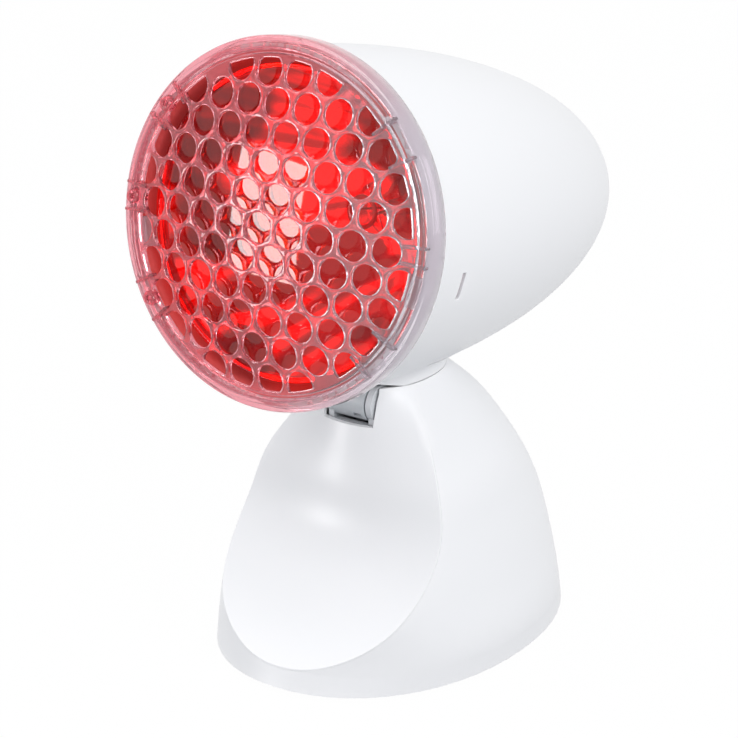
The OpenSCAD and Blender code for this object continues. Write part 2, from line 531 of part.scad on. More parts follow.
// x in the middle of the side wall at y, at the height of the top of a boss web
function web_x(y) = let (z = deck_z + 12, l = base_half_l * curve(y > mid_y(z) ? r_law : f_law, z))
  half_w(z) * pow(1 - pow(abs(y - mid_y(z)) / l, plan_power), 1 / plan_power) - stand_wall / 2;
module rear_shell() color([0.95, 0.95, 0.96]) {
  difference() {
    wall_between(shell_rows(0), shell_rows(stand_wall), low_rows);
    at_switch() box([-switch_w / 2, -8, -switch_h / 2], [switch_w / 2, 6, switch_h / 2]);
    at_gland() {
      translate([0, 0, -8]) cylinder(r = gland_r, h = 14, $fn = 40);
      // flat seat for the flange
      translate([0, 0, 0.1]) cylinder(r = gland_flange_r + 0.3, h = 6, $fn = 40);
    }
  }
  difference() {
    for (q = boss_xy) {
      translate([q[0], q[1], deck_z]) cylinder(r = boss_r, h = 14, $fn = 28);
      x = sgn(q[0]) * web_x(q[1]);
      box([min(q[0], x), q[1] - 1, deck_z], [max(q[0], x), q[1] + 1, deck_z + 12]);
    }
    for (q = boss_xy) translate([q[0], q[1], deck_z - 1]) cylinder(r = screw_r, h = 10, $fn = 20);
  }
}
module base_plate() color([0.2, 0.2, 0.22]) difference() {
  translate([0, 0, floor_z]) linear_extrude(deck_z - floor_z)
    polygon([for (p = ring(deck_z, stand_wall + 0.5)) [p[0], p[1]]]);
  for (q = boss_xy) translate([q[0], q[1], floor_z - 1]) {
    cylinder(r = screw_r, h = 6, $fn = 24);
    cylinder(r = screw_head_r + 0.2, h = 2.2, $fn = 24);
  }
  for (q = frame_xy) translate([q[0], q[1], deck_z - 2]) cylinder(r = screw_r, h = 6, $fn = 24);
  for (q = feet_xy) translate([q[0], q[1], floor_z - 1]) cylinder(r = foot_r, h = 2, $fn = 32);
}
module base_screws() color([0.6, 0.62, 0.65])
  for (q = boss_xy) translate([q[0], q[1], floor_z + 9.2]) rotate([180, 0, 0]) one_screw(8);
module feet() color([0.1, 0.1, 0.1])
  for (q = feet_xy) translate([q[0], q[1], 0]) cylinder(r = foot_r, h = floor_z + 1, $fn = 32);
module ballast() color([0.5, 0.5, 0.52]) difference() {
  union() {
    box([-34, 28, deck_z], [34, 56, deck_z + ballast_t]);
    box([-32, -64, deck_z], [32, -45, deck_z + ballast_t]);
  }
  // room for the terminal block
  box([-17, 36, deck_z - 1], [17, 54, deck_z + ballast_t + 1]);
}
module switch_body() color([0.12, 0.12, 0.13]) at_switch() difference() {
  union() {
    box([-switch_w / 2, -13, -switch_h / 2], [switch_w / 2, 0.4, switch_h / 2]);
    box([-switch_w / 2 - bezel_w, 0.4, -switch_h / 2 - bezel_w],
      [switch_w / 2 + bezel_w, 2, switch_h / 2 + bezel_w]);
  }
  box([-switch_w / 2 + 1.2, -8, -switch_h / 2 + 1.2], [switch_w / 2 - 1.2, 3, switch_h / 2 - 1.2]);
  translate([0, -2, 0]) along_x(-switch_w / 2 + 0.4, switch_w / 2 - 0.4, 1.2 + rocker_clear, 24);
}
module rocker() color([0.15, 0.15, 0.16]) at_switch() translate([0, -2, 0]) rotate([7, 0, 0]) {
  w = switch_w / 2 - 1.5;
  h = switch_h / 2 - 2.1;
  rotate([0, 90, 0]) translate([0, 0, -w]) linear_extrude(2 * w)
    polygon([[-h, 4.2], [-h + 0.5, 5.4], [0, 4.2], [h - 0.5, 5.4], [h, 4.2], [h - 1.4, 0],
      [2, -3], [-2, -3], [-h + 1.4, 0]]);
  along_x(-switch_w / 2 + 0.7, switch_w / 2 - 0.7, 1.2, 24);
}
module switch_tabs() color([0.8, 0.65, 0.3]) at_switch() for (z = [-5, 5])
  box([-2.4, -20, z - 0.4], [2.4, -13, z + 0.4]);
module at_gland() translate([0, rear_y(gland_z), gland_z]) rotate([-90, 0, 0]) children();
module cord_gland() color([0.9, 0.9, 0.91]) at_gland()
  turned([[cord_r, -12], [gland_r, -12], [gland_r, 0.2], [gland_flange_r, 0.2], [gland_flange_r, 2],
    [gland_r - 0.4, 3.4], [cord_r + 1.2, 12], [cord_r, 12]], 48);
module gland_nut() color([0.3, 0.3, 0.32]) at_gland() translate([0, 0, -9]) difference() {
  cylinder(r = gland_r + 3.4, h = 4, $fn = 6);
  translate([0, 0, -1]) cylinder(r = gland_r, h = 6, $fn = 40);
}
module terminal_block() color([0.88, 0.87, 0.8]) difference() {
  union() {
    box([-15, 38, deck_z], [15, 52, deck_z + 7]);
    for (x = block_x) box([x - 3.6, 40, deck_z + 7], [x + 3.6, 50, deck_z + 12]);
  }
  for (x = block_x, y = block_y) translate([x, y, deck_z + 6])
    cylinder(r = terminal_r, h = 7, $fn = 20);
}
module terminal_screws() color([0.8, 0.66, 0.34]) for (x = block_x, y = block_y)
  translate([x, y, deck_z + 6]) difference() {
    cylinder(r = terminal_r, h = 4.5, $fn = 20);
    box([-terminal_r - 0.1, -0.3, 3.9], [terminal_r + 0.1, 0.3, 5]);
  }
// two leads from the terminals up to the joint, two from the switch down to the terminals
module lead_stand() color([0.8, 0.1, 0.1]) {
  for (x = [-1, 1]) wire([[x * 10, 39, deck_z + 9.5], [x * 8, 28, deck_z + 14],
    [x * 4, 16, pivot_z - 62], [x * 3, 14, pivot_z - 34]], lead_r);
  for (z = [-5, 5]) wire([switch_point(z * 0.4, -17, z + 0.45 + lead_r),
    switch_point(z * 0.6, -24, z + 0.45 + lead_r), [z * 2, 56, deck_z + 16],
    [z * 2, 51, deck_z + 9.5]], lead_r);
}

guard();
head_shell();
neck_collar();
bulb_lens();
bulb_reflector();
bulb_cap();
bulb_insulator();
bulb_contact();
bulb_stem();
filament();
lamp_holder();
holder_thread();
holder_contact();
holder_strap();
strap_screws();
thermal_cutout();
heat_shield();
tilt_bracket();
bracket_screws();
lead_head();
hinge_pin();
pin_clip();
friction_washers();
detent_spring();
neck_frame();
frame_screws();
front_panel();
panel_screws();
rear_shell();
base_plate();
base_screws();
feet();
ballast();
switch_body();
rocker();
switch_tabs();
cord_gland();
gland_nut();
terminal_block();
terminal_screws();
lead_stand();
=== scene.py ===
"""Infrared heat therapy lamp on a table stand, dressed for rendering.

The sections follow the lamp from the foot up, as it is put together: foot, stand shell, hinge
frame, switch, cord gland, front panel, tilt bracket, head shell, collar, lamp holder, bulb and
guard. Shapes are worked out in millimetres and become metres where their mesh is made.
"""

import math

import bmesh
import bpy
import numpy as np
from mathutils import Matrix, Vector
from mathutils.geometry import delaunay_2d_cdt


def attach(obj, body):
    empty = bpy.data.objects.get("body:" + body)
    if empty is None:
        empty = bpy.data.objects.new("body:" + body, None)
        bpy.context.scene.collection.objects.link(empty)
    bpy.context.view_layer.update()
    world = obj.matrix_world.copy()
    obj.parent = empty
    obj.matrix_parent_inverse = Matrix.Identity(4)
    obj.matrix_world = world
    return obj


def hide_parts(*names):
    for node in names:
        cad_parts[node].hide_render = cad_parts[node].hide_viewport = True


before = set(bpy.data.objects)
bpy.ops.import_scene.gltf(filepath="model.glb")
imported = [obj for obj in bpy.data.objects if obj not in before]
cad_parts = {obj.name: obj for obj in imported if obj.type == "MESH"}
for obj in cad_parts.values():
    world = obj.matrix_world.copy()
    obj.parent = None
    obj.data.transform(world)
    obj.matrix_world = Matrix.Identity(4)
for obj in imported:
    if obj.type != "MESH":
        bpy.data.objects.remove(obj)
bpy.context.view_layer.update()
scene = bpy.context.scene
scene.view_settings.view_transform = "Standard"

# ---- Camera -------------------------------------------------------------------------------
# A long lens a little over a metre away, to the right of the lamp's face and above it, with
# no roll. Its place and angle were solved from the guard's rim and the stand's edges.
camera = bpy.data.objects.new("photo_camera", bpy.data.cameras.new("photo_camera"))
camera.data.sensor_width = 36.0
camera.data.lens = 146.34
camera.data.clip_start = 0.05
camera.location = (0.6349, -0.9404, 0.5428)
camera.rotation_euler = (math.radians(90 - 20.85), 0, math.radians(34.5))
scene.collection.objects.link(camera)
scene.camera = camera

# ---- Light, backdrop and floor ----------------------------------------------------------
# A white room: even light from all round, a large softbox over the lamp, one at its right, one
# at its left front that the bulb mirrors, and a white floor that keeps a faint shadow.


def add_node(tree, kind, settings=None, **values):
    """Adds a shader node. Settings are its properties, and values its inputs: by name, with _
    for a space, or by number, as in i0. A value that is a socket is linked to the input."""
    node = tree.nodes.new(kind)
    for key, value in (settings or {}).items():
        setattr(node, key, value)
    for key, value in values.items():
        numbered = key[0] == "i" and key[1:].isdigit()
        socket = node.inputs[int(key[1:]) if numbered else key.replace("_", " ")]
        if isinstance(value, bpy.types.NodeSocket):
            tree.links.new(value, socket)
        else:
            socket.default_value = value
    return node


def seen_directly(tree):
    """1 for camera, mirror and glass rays, 0 for the rays that light the object."""
    rays = tree.nodes.new("ShaderNodeLightPath")
    some = add_node(tree, "ShaderNodeMath", {"operation": "MAXIMUM"},
                    i0=rays.outputs["Is Camera Ray"], i1=rays.outputs["Is Glossy Ray"])
    return add_node(tree, "ShaderNodeMath", {"operation": "MAXIMUM"},
                    i0=some.outputs[0], i1=rays.outputs["Is Transmission Ray"]).outputs[0]


def soft_light(name, place, target, size, power):
    """Rectangular area lamp at place that faces target."""
    lamp = bpy.data.lights.new(name, "AREA")
    lamp.shape = "RECTANGLE"
    lamp.size, lamp.size_y = size
    lamp.energy = power
    lamp_object = bpy.data.objects.new(name, lamp)
    lamp_object.location = place
    lamp_object.rotation_euler = (Vector(target) - Vector(place)).to_track_quat("-Z", "Y").to_euler()
    scene.collection.objects.link(lamp_object)


room = bpy.data.worlds.new("white_room")
room.use_nodes = True
room.node_tree.nodes.clear()
room_light = add_node(room.node_tree, "ShaderNodeBackground", Color=(0.97, 0.98, 1, 1), Strength=0.62)
room_white = add_node(room.node_tree, "ShaderNodeBackground", Color=(1, 1, 1, 1), Strength=1.0)
room_mix = add_node(room.node_tree, "ShaderNodeMixShader", i0=seen_directly(room.node_tree),
                    i1=room_light.outputs[0], i2=room_white.outputs[0])
add_node(room.node_tree, "ShaderNodeOutputWorld", Surface=room_mix.outputs[0])
scene.world = room

soft_light("softbox_left", (-0.717, -1.055, 0.15), (0, -0.08, 0.19), (0.26, 0.40), 3.8)
soft_light("softbox_top", (-0.5, -0.5, 1.2), (0, 0, 0.1), (1.0, 1.0), 5)
soft_light("softbox_right", (1.25, -0.3, 0.7), (0, 0, 0.15), (0.5, 0.9), 10.5)

floor_mesh = bpy.data.meshes.new("floor")
floor_mesh.from_pydata([(-4, -4, 0), (4, -4, 0), (4, 4, 0), (-4, 4, 0)], [], [(0, 1, 2, 3)])
floor = bpy.data.objects.new("floor", floor_mesh)
scene.collection.objects.link(floor)
floor_paper = bpy.data.materials.new("floor_paper")
floor_paper.use_nodes = True
paper = floor_paper.node_tree
paper.nodes.clear()
paper_share = add_node(paper, "ShaderNodeMath", {"operation": "MULTIPLY"}, i0=seen_directly(paper), i1=0.97)
paper_diffuse = add_node(paper, "ShaderNodeBsdfDiffuse", Color=(0.32, 0.33, 0.35, 1))
paper_white = add_node(paper, "ShaderNodeEmission", Color=(1, 1, 1, 1), Strength=1.02)
paper_mix = add_node(paper, "ShaderNodeMixShader", i0=paper_share.outputs[0],
                     i1=paper_diffuse.outputs[0], i2=paper_white.outputs[0])
add_node(paper, "ShaderNodeOutputMaterial", Surface=paper_mix.outputs[0])
floor_mesh.materials.append(floor_paper)

# ---- Foot: base plate, feet and ballast --------------------------------------------------
# The foot is a grained black moulded plate held by four screws under the stand shell. Five
# rubber pads are pressed into it, and two cast iron weights lie on it against tipping.


def shader_group(name, inputs, outputs):
    """An empty shader node group. Inputs maps each name to its socket kind and value, and
    outputs each name to its socket kind. Returns the group, its input and its output node."""
    group = bpy.data.node_groups.new(name, "ShaderNodeTree")
    for label, (kind, value) in inputs.items():
        socket = group.interface.new_socket(name=label, in_out="INPUT", socket_type="NodeSocket" + kind)
        socket.default_value = value
    for label, kind in outputs.items():
        group.interface.new_socket(name=label, in_out="OUTPUT", socket_type="NodeSocket" + kind)
    return group, group.nodes.new("NodeGroupInput"), group.nodes.new("NodeGroupOutput")


def moulded_skin_group():
    """The skin that a mould leaves: a slow drift between two colours, fine pits in the
    surface, and gloss that varies in patches."""
    group, given, result = shader_group(
        "moulded_skin",
        {"Colour": ("Color", (0.8, 0.8, 0.8, 1)), "Drift colour": ("Color", (0.7, 0.7, 0.7, 1)),
         "Drift scale": ("Float", 12.0), "Pit scale": ("Float", 900.0),
         "Roughness": ("Float", 0.3), "Roughness spread": ("Float", 0.08)},
        {"Colour": "Color", "Roughness": "Float", "Height": "Float"})
    place = group.nodes.new("ShaderNodeTexCoord").outputs["Object"]
    drift = add_node(group, "ShaderNodeTexNoise", Vector=place, Scale=given.outputs["Drift scale"],
                     Detail=3.0)
    pits = add_node(group, "ShaderNodeTexNoise", Vector=place, Scale=given.outputs["Pit scale"],
                    Detail=2.0)
    patches = add_node(group, "ShaderNodeTexNoise", Vector=place, Scale=60.0, Detail=4.0)
    blend = add_node(group, "ShaderNodeMix", {"data_type": "RGBA"}, i0=drift.outputs["Fac"],
                     i6=given.outputs["Colour"], i7=given.outputs["Drift colour"])
    centred = add_node(group, "ShaderNodeMath", {"operation": "SUBTRACT"}, i0=patches.outputs["Fac"], i1=0.5)
    rough = add_node(group, "ShaderNodeMath", {"operation": "MULTIPLY_ADD"}, i0=centred.outputs[0],
                     i1=given.outputs["Roughness spread"], i2=given.outputs["Roughness"])
    group.links.new(blend.outputs[2], result.inputs["Colour"])
    group.links.new(rough.outputs[0], result.inputs["Roughness"])
    group.links.new(pits.outputs["Fac"], result.inputs["Height"])
    return group


def edge_wear_group():
    """A mask that is 1 on outer edges and corners, broken up by noise, for worn and dusty edges."""
    group, given, result = shader_group(
        "edge_wear", {"Sharpness": ("Float", 0.53), "Break-up scale": ("Float", 220.0)}, {"Mask": "Float"})
    bend = group.nodes.new("ShaderNodeNewGeometry").outputs["Pointiness"]
    place = group.nodes.new("ShaderNodeTexCoord").outputs["Object"]
    edge = add_node(group, "ShaderNodeMapRange", Value=bend, From_Min=0.505,
                    From_Max=given.outputs["Sharpness"])
    noise = add_node(group, "ShaderNodeTexNoise", Vector=place, Scale=given.outputs["Break-up scale"],
                     Detail=5.0)
    broken = add_node(group, "ShaderNodeMath", {"operation": "MULTIPLY"}, i0=edge.outputs["Result"],
                      i1=noise.outputs["Fac"])
    group.links.new(broken.outputs[0], result.inputs["Mask"])
    return group


skin_group = moulded_skin_group()
wear_group = edge_wear_group()


def moulded(name, colour, drift, rough, spread=0.08, pit_scale=900.0, pit_depth=0.00002, drift_scale=12.0,
            wear=None, **shader):
    """Material of a moulded part: the moulded skin group, edge wear mixed in where a wear colour
    is given, and a Principled shader whose other values are given by name."""
    material = bpy.data.materials.new(name)
    material.use_nodes = True
    tree = material.node_tree
    tree.nodes.clear()
    skin = add_node(tree, "ShaderNodeGroup", {"node_tree": skin_group}, Colour=colour + (1,),
                    Drift_colour=drift + (1,), Drift_scale=drift_scale, Pit_scale=pit_scale,
                    Roughness=rough, Roughness_spread=spread)
    base = skin.outputs["Colour"]
    if wear:
        mask = add_node(tree, "ShaderNodeGroup", {"node_tree": wear_group})
        base = add_node(tree, "ShaderNodeMix", {"data_type": "RGBA"}, i0=mask.outputs["Mask"],
                        i6=base, i7=wear + (1,)).outputs[2]
    bump = add_node(tree, "ShaderNodeBump", Strength=0.35, Distance=pit_depth, Height=skin.outputs["Height"])
    shade = add_node(tree, "ShaderNodeBsdfPrincipled", Base_Color=base, Roughness=skin.outputs["Roughness"],
                     Normal=bump.outputs["Normal"], **shader)
    add_node(tree, "ShaderNodeOutputMaterial", Surface=shade.outputs[0])
    return material


def dress(material, *names):
    """Gives CAD solids that keep their own shape a finish."""
    for name in names:
        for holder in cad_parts[name].material_slots:
            holder.material = material


SHARP_ANGLE = 35  # degrees from which an edge counts as sharp


def round_edges(item, width):
    """Small rounds on every sharp edge, as a mould or a tumbled edge has."""
    rounds = item.modifiers.new("edge_rounds", "BEVEL")
    rounds.width = width * 0.001
    rounds.segments = 2
    rounds.limit_method = "ANGLE"
    rounds.angle_limit = math.radians(SHARP_ANGLE)


def softened(name, node, width, body, material):
    """A copy of a CAD solid with its triangles joined into flats and its edges rounded."""
    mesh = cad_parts[node].data.copy()
    mesh.name = name
    for label in [a.name for a in mesh.attributes if a.name == "custom_normal"]:
        mesh.attributes.remove(mesh.attributes[label])
    shape = bmesh.new()
    shape.from_mesh(mesh)
    bmesh.ops.remove_doubles(shape, verts=shape.verts, dist=1e-6)
    bmesh.ops.dissolve_limit(shape, angle_limit=math.radians(0.5), verts=shape.verts, edges=shape.edges)
    shape.to_mesh(mesh)
    shape.free()
    mesh.materials.clear()
    mesh.materials.append(material)
    mesh.shade_smooth()
    mesh.set_sharp_from_angle(angle=math.radians(SHARP_ANGLE))
    piece = bpy.data.objects.new(name, mesh)
    scene.collection.objects.link(piece)
    round_edges(piece, width)
    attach(piece, body)
    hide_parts(node)


foot_black = moulded("foot_black", (0.035, 0.035, 0.038), (0.05, 0.05, 0.055), 0.5, pit_scale=1600.0,
                     pit_depth=0.00008, wear=(0.16, 0.16, 0.17))
pad_rubber = moulded("pad_rubber", (0.02, 0.02, 0.02), (0.045, 0.043, 0.042), 0.82, pit_scale=700.0,
                     pit_depth=0.0001, wear=(0.1, 0.1, 0.1))
cast_iron = moulded("cast_iron", (0.12, 0.12, 0.125), (0.2, 0.19, 0.185), 0.62, spread=0.2,
                    pit_scale=260.0, pit_depth=0.0004, Metallic=0.75)
softened("foot_plate", "base_plate", 0.4, "stand", foot_black)
softened("rubber_pads", "feet", 0.7, "stand", pad_rubber)
softened("ballast_weights", "ballast", 0.8, "stand", cast_iron)

# ---- Stand shell -----------------------------------------------------------------------
# One white gloss moulding with a 2.2 mm wall. Its plan is a flattened oval that draws in from
# the foot to the neck, and its front is left open, leaning back, for the front panel.
FOOT_WIDTH, FOOT_LENGTH = 63.5, 83.5  # half the foot's size in plan
FOOT_RIM, NECK_RIM = 2.0, 113.0       # heights of the lower and the upper edge
STAND_WALL = 2.2
PLAN_POWER = 2.13                     # fullness of the oval, where 2 is an ellipse
LID_EDGE = 0.5                        # the panel's edge over the front of the wall
SEAM = 0.2
POST_RADIUS, POST_BORE, POST_SIDES = 4.0, 1.4, 32  # the screw posts of all the mouldings
LAW_LEVELS = np.array([0, 0.12, 0.3, 0.5, 0.7, 0.86, 1])


def shape_law(values):
    """Smooth function of the height through seven values: on each stretch the cubic that has
    the slopes of np.gradient at its two ends."""
    values = np.array(values)
    slopes = np.gradient(values, LAW_LEVELS)

    def at(height):
        share = np.clip(np.asarray(height, float) / NECK_RIM, 0, 1)
        i = np.clip(np.searchsorted(LAW_LEVELS, share, side="right") - 1, 0, len(LAW_LEVELS) - 2)
        step = LAW_LEVELS[i + 1] - LAW_LEVELS[i]
        t = (share - LAW_LEVELS[i]) / step
        return ((2 * t**3 - 3 * t**2 + 1) * values[i] + (t**3 - 2 * t**2 + t) * step * slopes[i]
                + (3 * t**2 - 2 * t**3) * values[i + 1] + (t**3 - t**2) * step * slopes[i + 1])
    return at


width_law = shape_law([1, 1, 0.921, 0.819, 0.701, 0.504, 0.331])
rear_law = shape_law([1, 0.958, 0.946, 0.886, 0.713, 0.557, 0.33])
front_law = shape_law([1, 0.958, 0.958, 0.886, 0.754, 0.581, 0.365])
crease_law = shape_law([1.078, 0.878, 0.617, 0.41, 0.326, 0.231, 0.15])
bulge_law = shape_law([0.036, 0.05, 0.1, 0.12, 0.145, 0.172, 0.24])


def half_width(z):
    return FOOT_WIDTH * width_law(z)


def middle_y(z):
    return -0.036 * FOOT_LENGTH * z / NECK_RIM


def plan_outline(angle, z, inset):
    """Point of the plan outline at an angle: signed powers 2 / 2.13 of cosine and sine, times
    the half width and the front or rear reach at that height, less the inset."""
    c, s = np.cos(angle), np.sin(angle)
    reach = FOOT_LENGTH * np.where(s > 0, rear_law(z), front_law(z)) - inset
    return np.stack([np.sign(c) * (half_width(z) - inset) * abs(c) ** (2 / PLAN_POWER),
                     middle_y(z) + np.sign(s) * reach * abs(s) ** (2 / PLAN_POWER), z + 0 * angle], -1)


def panel_y(x, z):
    """The front surface: a parabola across the stand between its two crease lines."""
    across = np.minimum(1.3, abs(x) / half_width(z))
    return -FOOT_LENGTH * (crease_law(z) + bulge_law(z) * (1 - across**2))


def behind_outline(x, z, back, inset):
    """How far the front surface, moved back, lies behind the outline's front at x."""
    across = np.clip(x / (half_width(z) - inset), 0, 1)
    reach = (FOOT_LENGTH * front_law(z) - inset) * (1 - across**PLAN_POWER) ** (1 / PLAN_POWER)
    return panel_y(x, z) + back - middle_y(z) + reach


def crease_x(z, back, inset=0.0):
    """Half width at which the front surface, moved back, meets the outline, by halving."""
    low, high = np.zeros_like(z), half_width(z) - inset
    for _ in range(32):
        x = (low + high) / 2
        inside = behind_outline(x, z, back, inset) > 0
        low, high = np.where(inside, x, low), np.where(inside, high, x)
    return low


def crease_tip(back, inset=0.0):
    """Height of the lowest point of the crease, by halving."""
    low, high = 0.0, 60.0
    for _ in range(32):
        z = (low + high) / 2
        low, high = (low, z) if behind_outline(0.0, z, back, inset) > 0 else (z, high)
    return high


def quads(*corners):
    """Faces of four corners, from four arrays of point numbers."""
    return np.stack(corners, -1).reshape(-1, 4)


def walled_grid(outer, inner, keep=None, wrap=False, shut_rows=0):
    """Closed wall between two grids of points, rows upwards and columns to the right as seen
    from outside. Cells that keep leaves out are openings, and every border gets its edge. wrap
    joins the last column to the first, and the first shut_rows rows of cells close likewise."""
    rows, columns = outer.shape[:2]
    count = rows * columns
    index = np.arange(count).reshape(rows, columns)
    if wrap:
        index = np.concatenate([index, index[:, :1]], 1)
    if shut_rows:
        index[:shut_rows + 1, -1] = index[:shut_rows + 1, 0]
    if keep is None:
        keep = np.ones((rows - 1, index.shape[1] - 1), bool)
    beside = np.pad(keep, 1)
    closed = slice(1, None) if wrap else slice(1, shut_rows + 1)
    beside[closed, 0], beside[closed, -1] = beside[closed, -2], beside[closed, 1]
    a, b, c, d = index[:-1, :-1], index[:-1, 1:], index[1:, 1:], index[1:, :-1]
    outside = quads(a[keep], b[keep], c[keep], d[keep])
    faces = [outside, outside[:, ::-1] + count]
    for p, q, neighbour in ((a, b, beside[:-2, 1:-1]), (b, c, beside[1:-1, 2:]),
                            (c, d, beside[2:, 1:-1]), (d, a, beside[1:-1, :-2])):
        bare = keep & ~neighbour
        faces.append(quads(q[bare], p[bare], p[bare] + count, q[bare] + count))
    return np.concatenate([outer.reshape(-1, 3), inner.reshape(-1, 3)]), np.concatenate(faces)


def turned(profile, turns):
    """Solid of revolution about the z axis: a closed list of (radius, height) points, going
    anticlockwise with the radius to the right, carried round in equal steps."""
    profile = np.array(profile, float)
    angle = np.arange(turns) * 2 * math.pi / turns
    points = np.stack([np.cos(angle)[:, None] * profile[:, 0], np.sin(angle)[:, None] * profile[:, 0],
                       np.tile(profile[:, 1], (turns, 1))], -1)
    index = np.arange(points.size // 3).reshape(turns, -1)
    after, above = np.roll(index, -1, 0), np.roll(index, -1, 1)
    return points.reshape(-1, 3), quads(index, after, np.roll(after, -1, 1), above)


def screw_post(low, high, x=0.0, y=0.0):
    """Upright screw post with a bore."""
    points, faces = turned([(POST_BORE, low), (POST_RADIUS, low), (POST_RADIUS, high), (POST_BORE, high)],
                           POST_SIDES)
    return points + (x, y, 0), faces


def block(low, high):
    """Rectangular block between two corners."""
    x, y, z = np.meshgrid(*zip(low, high), indexing="ij")
    faces = [[0, 1, 3, 2], [4, 6, 7, 5], [0, 4, 5, 1], [2, 3, 7, 6], [0, 2, 6, 4], [1, 5, 7, 3]]
    return np.stack([x.ravel(), y.ravel(), z.ravel()], -1), np.array(faces)


def plain_lists(faces):
    """Faces as plain lists, which may differ in length."""
    return faces.tolist() if isinstance(faces, np.ndarray) else faces


def joined(*shapes):
    """Several shapes as one list of points and one of faces."""
    faces, start = [], 0
    for points, block_faces in shapes:
        faces += [[corner + start for corner in face] for face in plain_lists(block_faces)]
        start += len(points)
    return np.concatenate([points for points, _ in shapes]), faces


def shaped_piece(name, shape, material, body, finish, *nodes, rounds=0.0, sharp=SHARP_ANGLE,
                 merge=1e-6):
    """Makes a piece from points in millimetres and faces, with doubled points merged, its edges
    rounded, its material, the body that it rides on and the CAD nodes that it stands for."""
    points, faces = shape
    mesh = bpy.data.meshes.new(name)
    mesh.from_pydata((points * 0.001).tolist(), [], plain_lists(faces))
    clean = bmesh.new()
    clean.from_mesh(mesh)
    bmesh.ops.remove_doubles(clean, verts=clean.verts, dist=merge)
    bmesh.ops.dissolve_degenerate(clean, dist=merge, edges=clean.edges)
    bmesh.ops.delete(clean, geom=[v for v in clean.verts if not v.link_faces], context="VERTS")
    clean.to_mesh(mesh)
    clean.free()
    mesh.materials.append(material)
    mesh.shade_smooth()
    mesh.set_sharp_from_angle(angle=math.radians(sharp))
    piece = bpy.data.objects.new(name, mesh)
    scene.collection.objects.link(piece)
    if rounds:
        round_edges(piece, rounds)
    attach(piece, body)
    if nodes:
        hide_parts(*nodes)
    return piece


shell_white = moulded("shell_white", (0.86, 0.865, 0.88), (0.845, 0.85, 0.868), 0.36, spread=0.03,
                      pit_scale=1500.0, pit_depth=0.000002, drift_scale=7.0, wear=(0.9, 0.9, 0.91),
                      Coat_Weight=0.12, Coat_Roughness=0.2)

# Rows of cells: three below the tip of the front opening, then up to the neck, with lines at
# the edges of the cord gland's hole and of the switch opening. Columns run round from one
# crease to the other, with lines beside the same two openings.
GLAND_ROWS, SWITCH_ROWS = (18.1, 29.9), (36.4, 55.6)
UPPER_ROWS = np.array([18.1, 21, 24, 27, 29.9, 33, 36.4, 41, 46, 51, 55.6, 60, 64, 68, 72, 76, 80, 84,
                       87.5, 91, 94, 97, 100, 103, 106, 108.5, 111, 113])
BACK_LINES = np.radians([78, 83.41, 85.15, 90, 94.85, 96.59, 102])
SIDE_COLUMNS = 26


def shell_grid(inset):
    """Points of the shell surface drawn in by inset: rows of heights times angles that run from
    the right crease round the back to the left crease."""
    tip = crease_tip(LID_EDGE + SEAM, inset)
    below = np.linspace(FOOT_RIM, tip, 4)
    above = tip + (UPPER_ROWS[0] - tip) * (np.arange(1, 6) / 6) ** 1.6
    z = np.concatenate([below, above, UPPER_ROWS])
    share = np.clip(crease_x(z, LID_EDGE + SEAM, inset) / (half_width(z) - inset), 0, 1)
    start = np.where(z > tip + 1e-6, -np.arccos(share ** (PLAN_POWER / 2)), -math.pi / 2)
    side = start[:, None] + (BACK_LINES[0] - start[:, None]) * np.arange(SIDE_COLUMNS) / SIDE_COLUMNS
    angle = np.concatenate([side, np.tile(BACK_LINES, (len(z), 1)), math.pi - side[:, ::-1]], 1)
    return plan_outline(angle, z[:, None], inset)


shell_outer, shell_inner = shell_grid(0.0), shell_grid(STAND_WALL)
row_low, row_high = shell_outer[:-1, 0, 2], shell_outer[1:, 0, 2]
solid = np.ones((len(row_low), shell_outer.shape[1] - 1), bool)
for (low, high), first, last in ((GLAND_ROWS, 2, 4), (SWITCH_ROWS, 1, 5)):
    rows_cut = (row_low > low - 0.01) & (row_high < high + 0.01)
    solid[np.ix_(rows_cut, np.arange(SIDE_COLUMNS + first, SIDE_COLUMNS + last))] = False
# Four posts end on the foot plate, and a web ties each one to the wall.
POST_PLACES = [(-46, 34, 55.4), (46, 34, 55.4), (-46, -28, 57.2), (46, -28, 57.2)]  # x, y, web's reach
DECK, POST_HEIGHT, WEB_START, WEB_HALF, WEB_HEIGHT = 6.0, 14.0, 49.5, 1.0, 12.0
shell_posts = [screw_post(DECK, DECK + POST_HEIGHT, x, y) for x, y, _ in POST_PLACES]
shell_webs = []
for x, y, reach in POST_PLACES:
    left, right = sorted((math.copysign(WEB_START, x), math.copysign(reach, x)))
    shell_webs.append(block((left, y - WEB_HALF, DECK), (right, y + WEB_HALF, DECK + WEB_HEIGHT)))
shell_wall = walled_grid(shell_outer, shell_inner, solid, shut_rows=3)
shaped_piece("stand_shell", joined(shell_wall, *shell_posts, *shell_webs), shell_white, "stand",
             "shell_white", "rear_shell", rounds=0.35)
steel_screw = moulded("steel_screw", (0.5, 0.5, 0.51), (0.4, 0.4, 0.42), 0.32, spread=0.2,
                      pit_scale=2400.0, pit_depth=0.00003, wear=(0.7, 0.7, 0.72), Metallic=1.0)
dress(steel_screw, "base_screws")

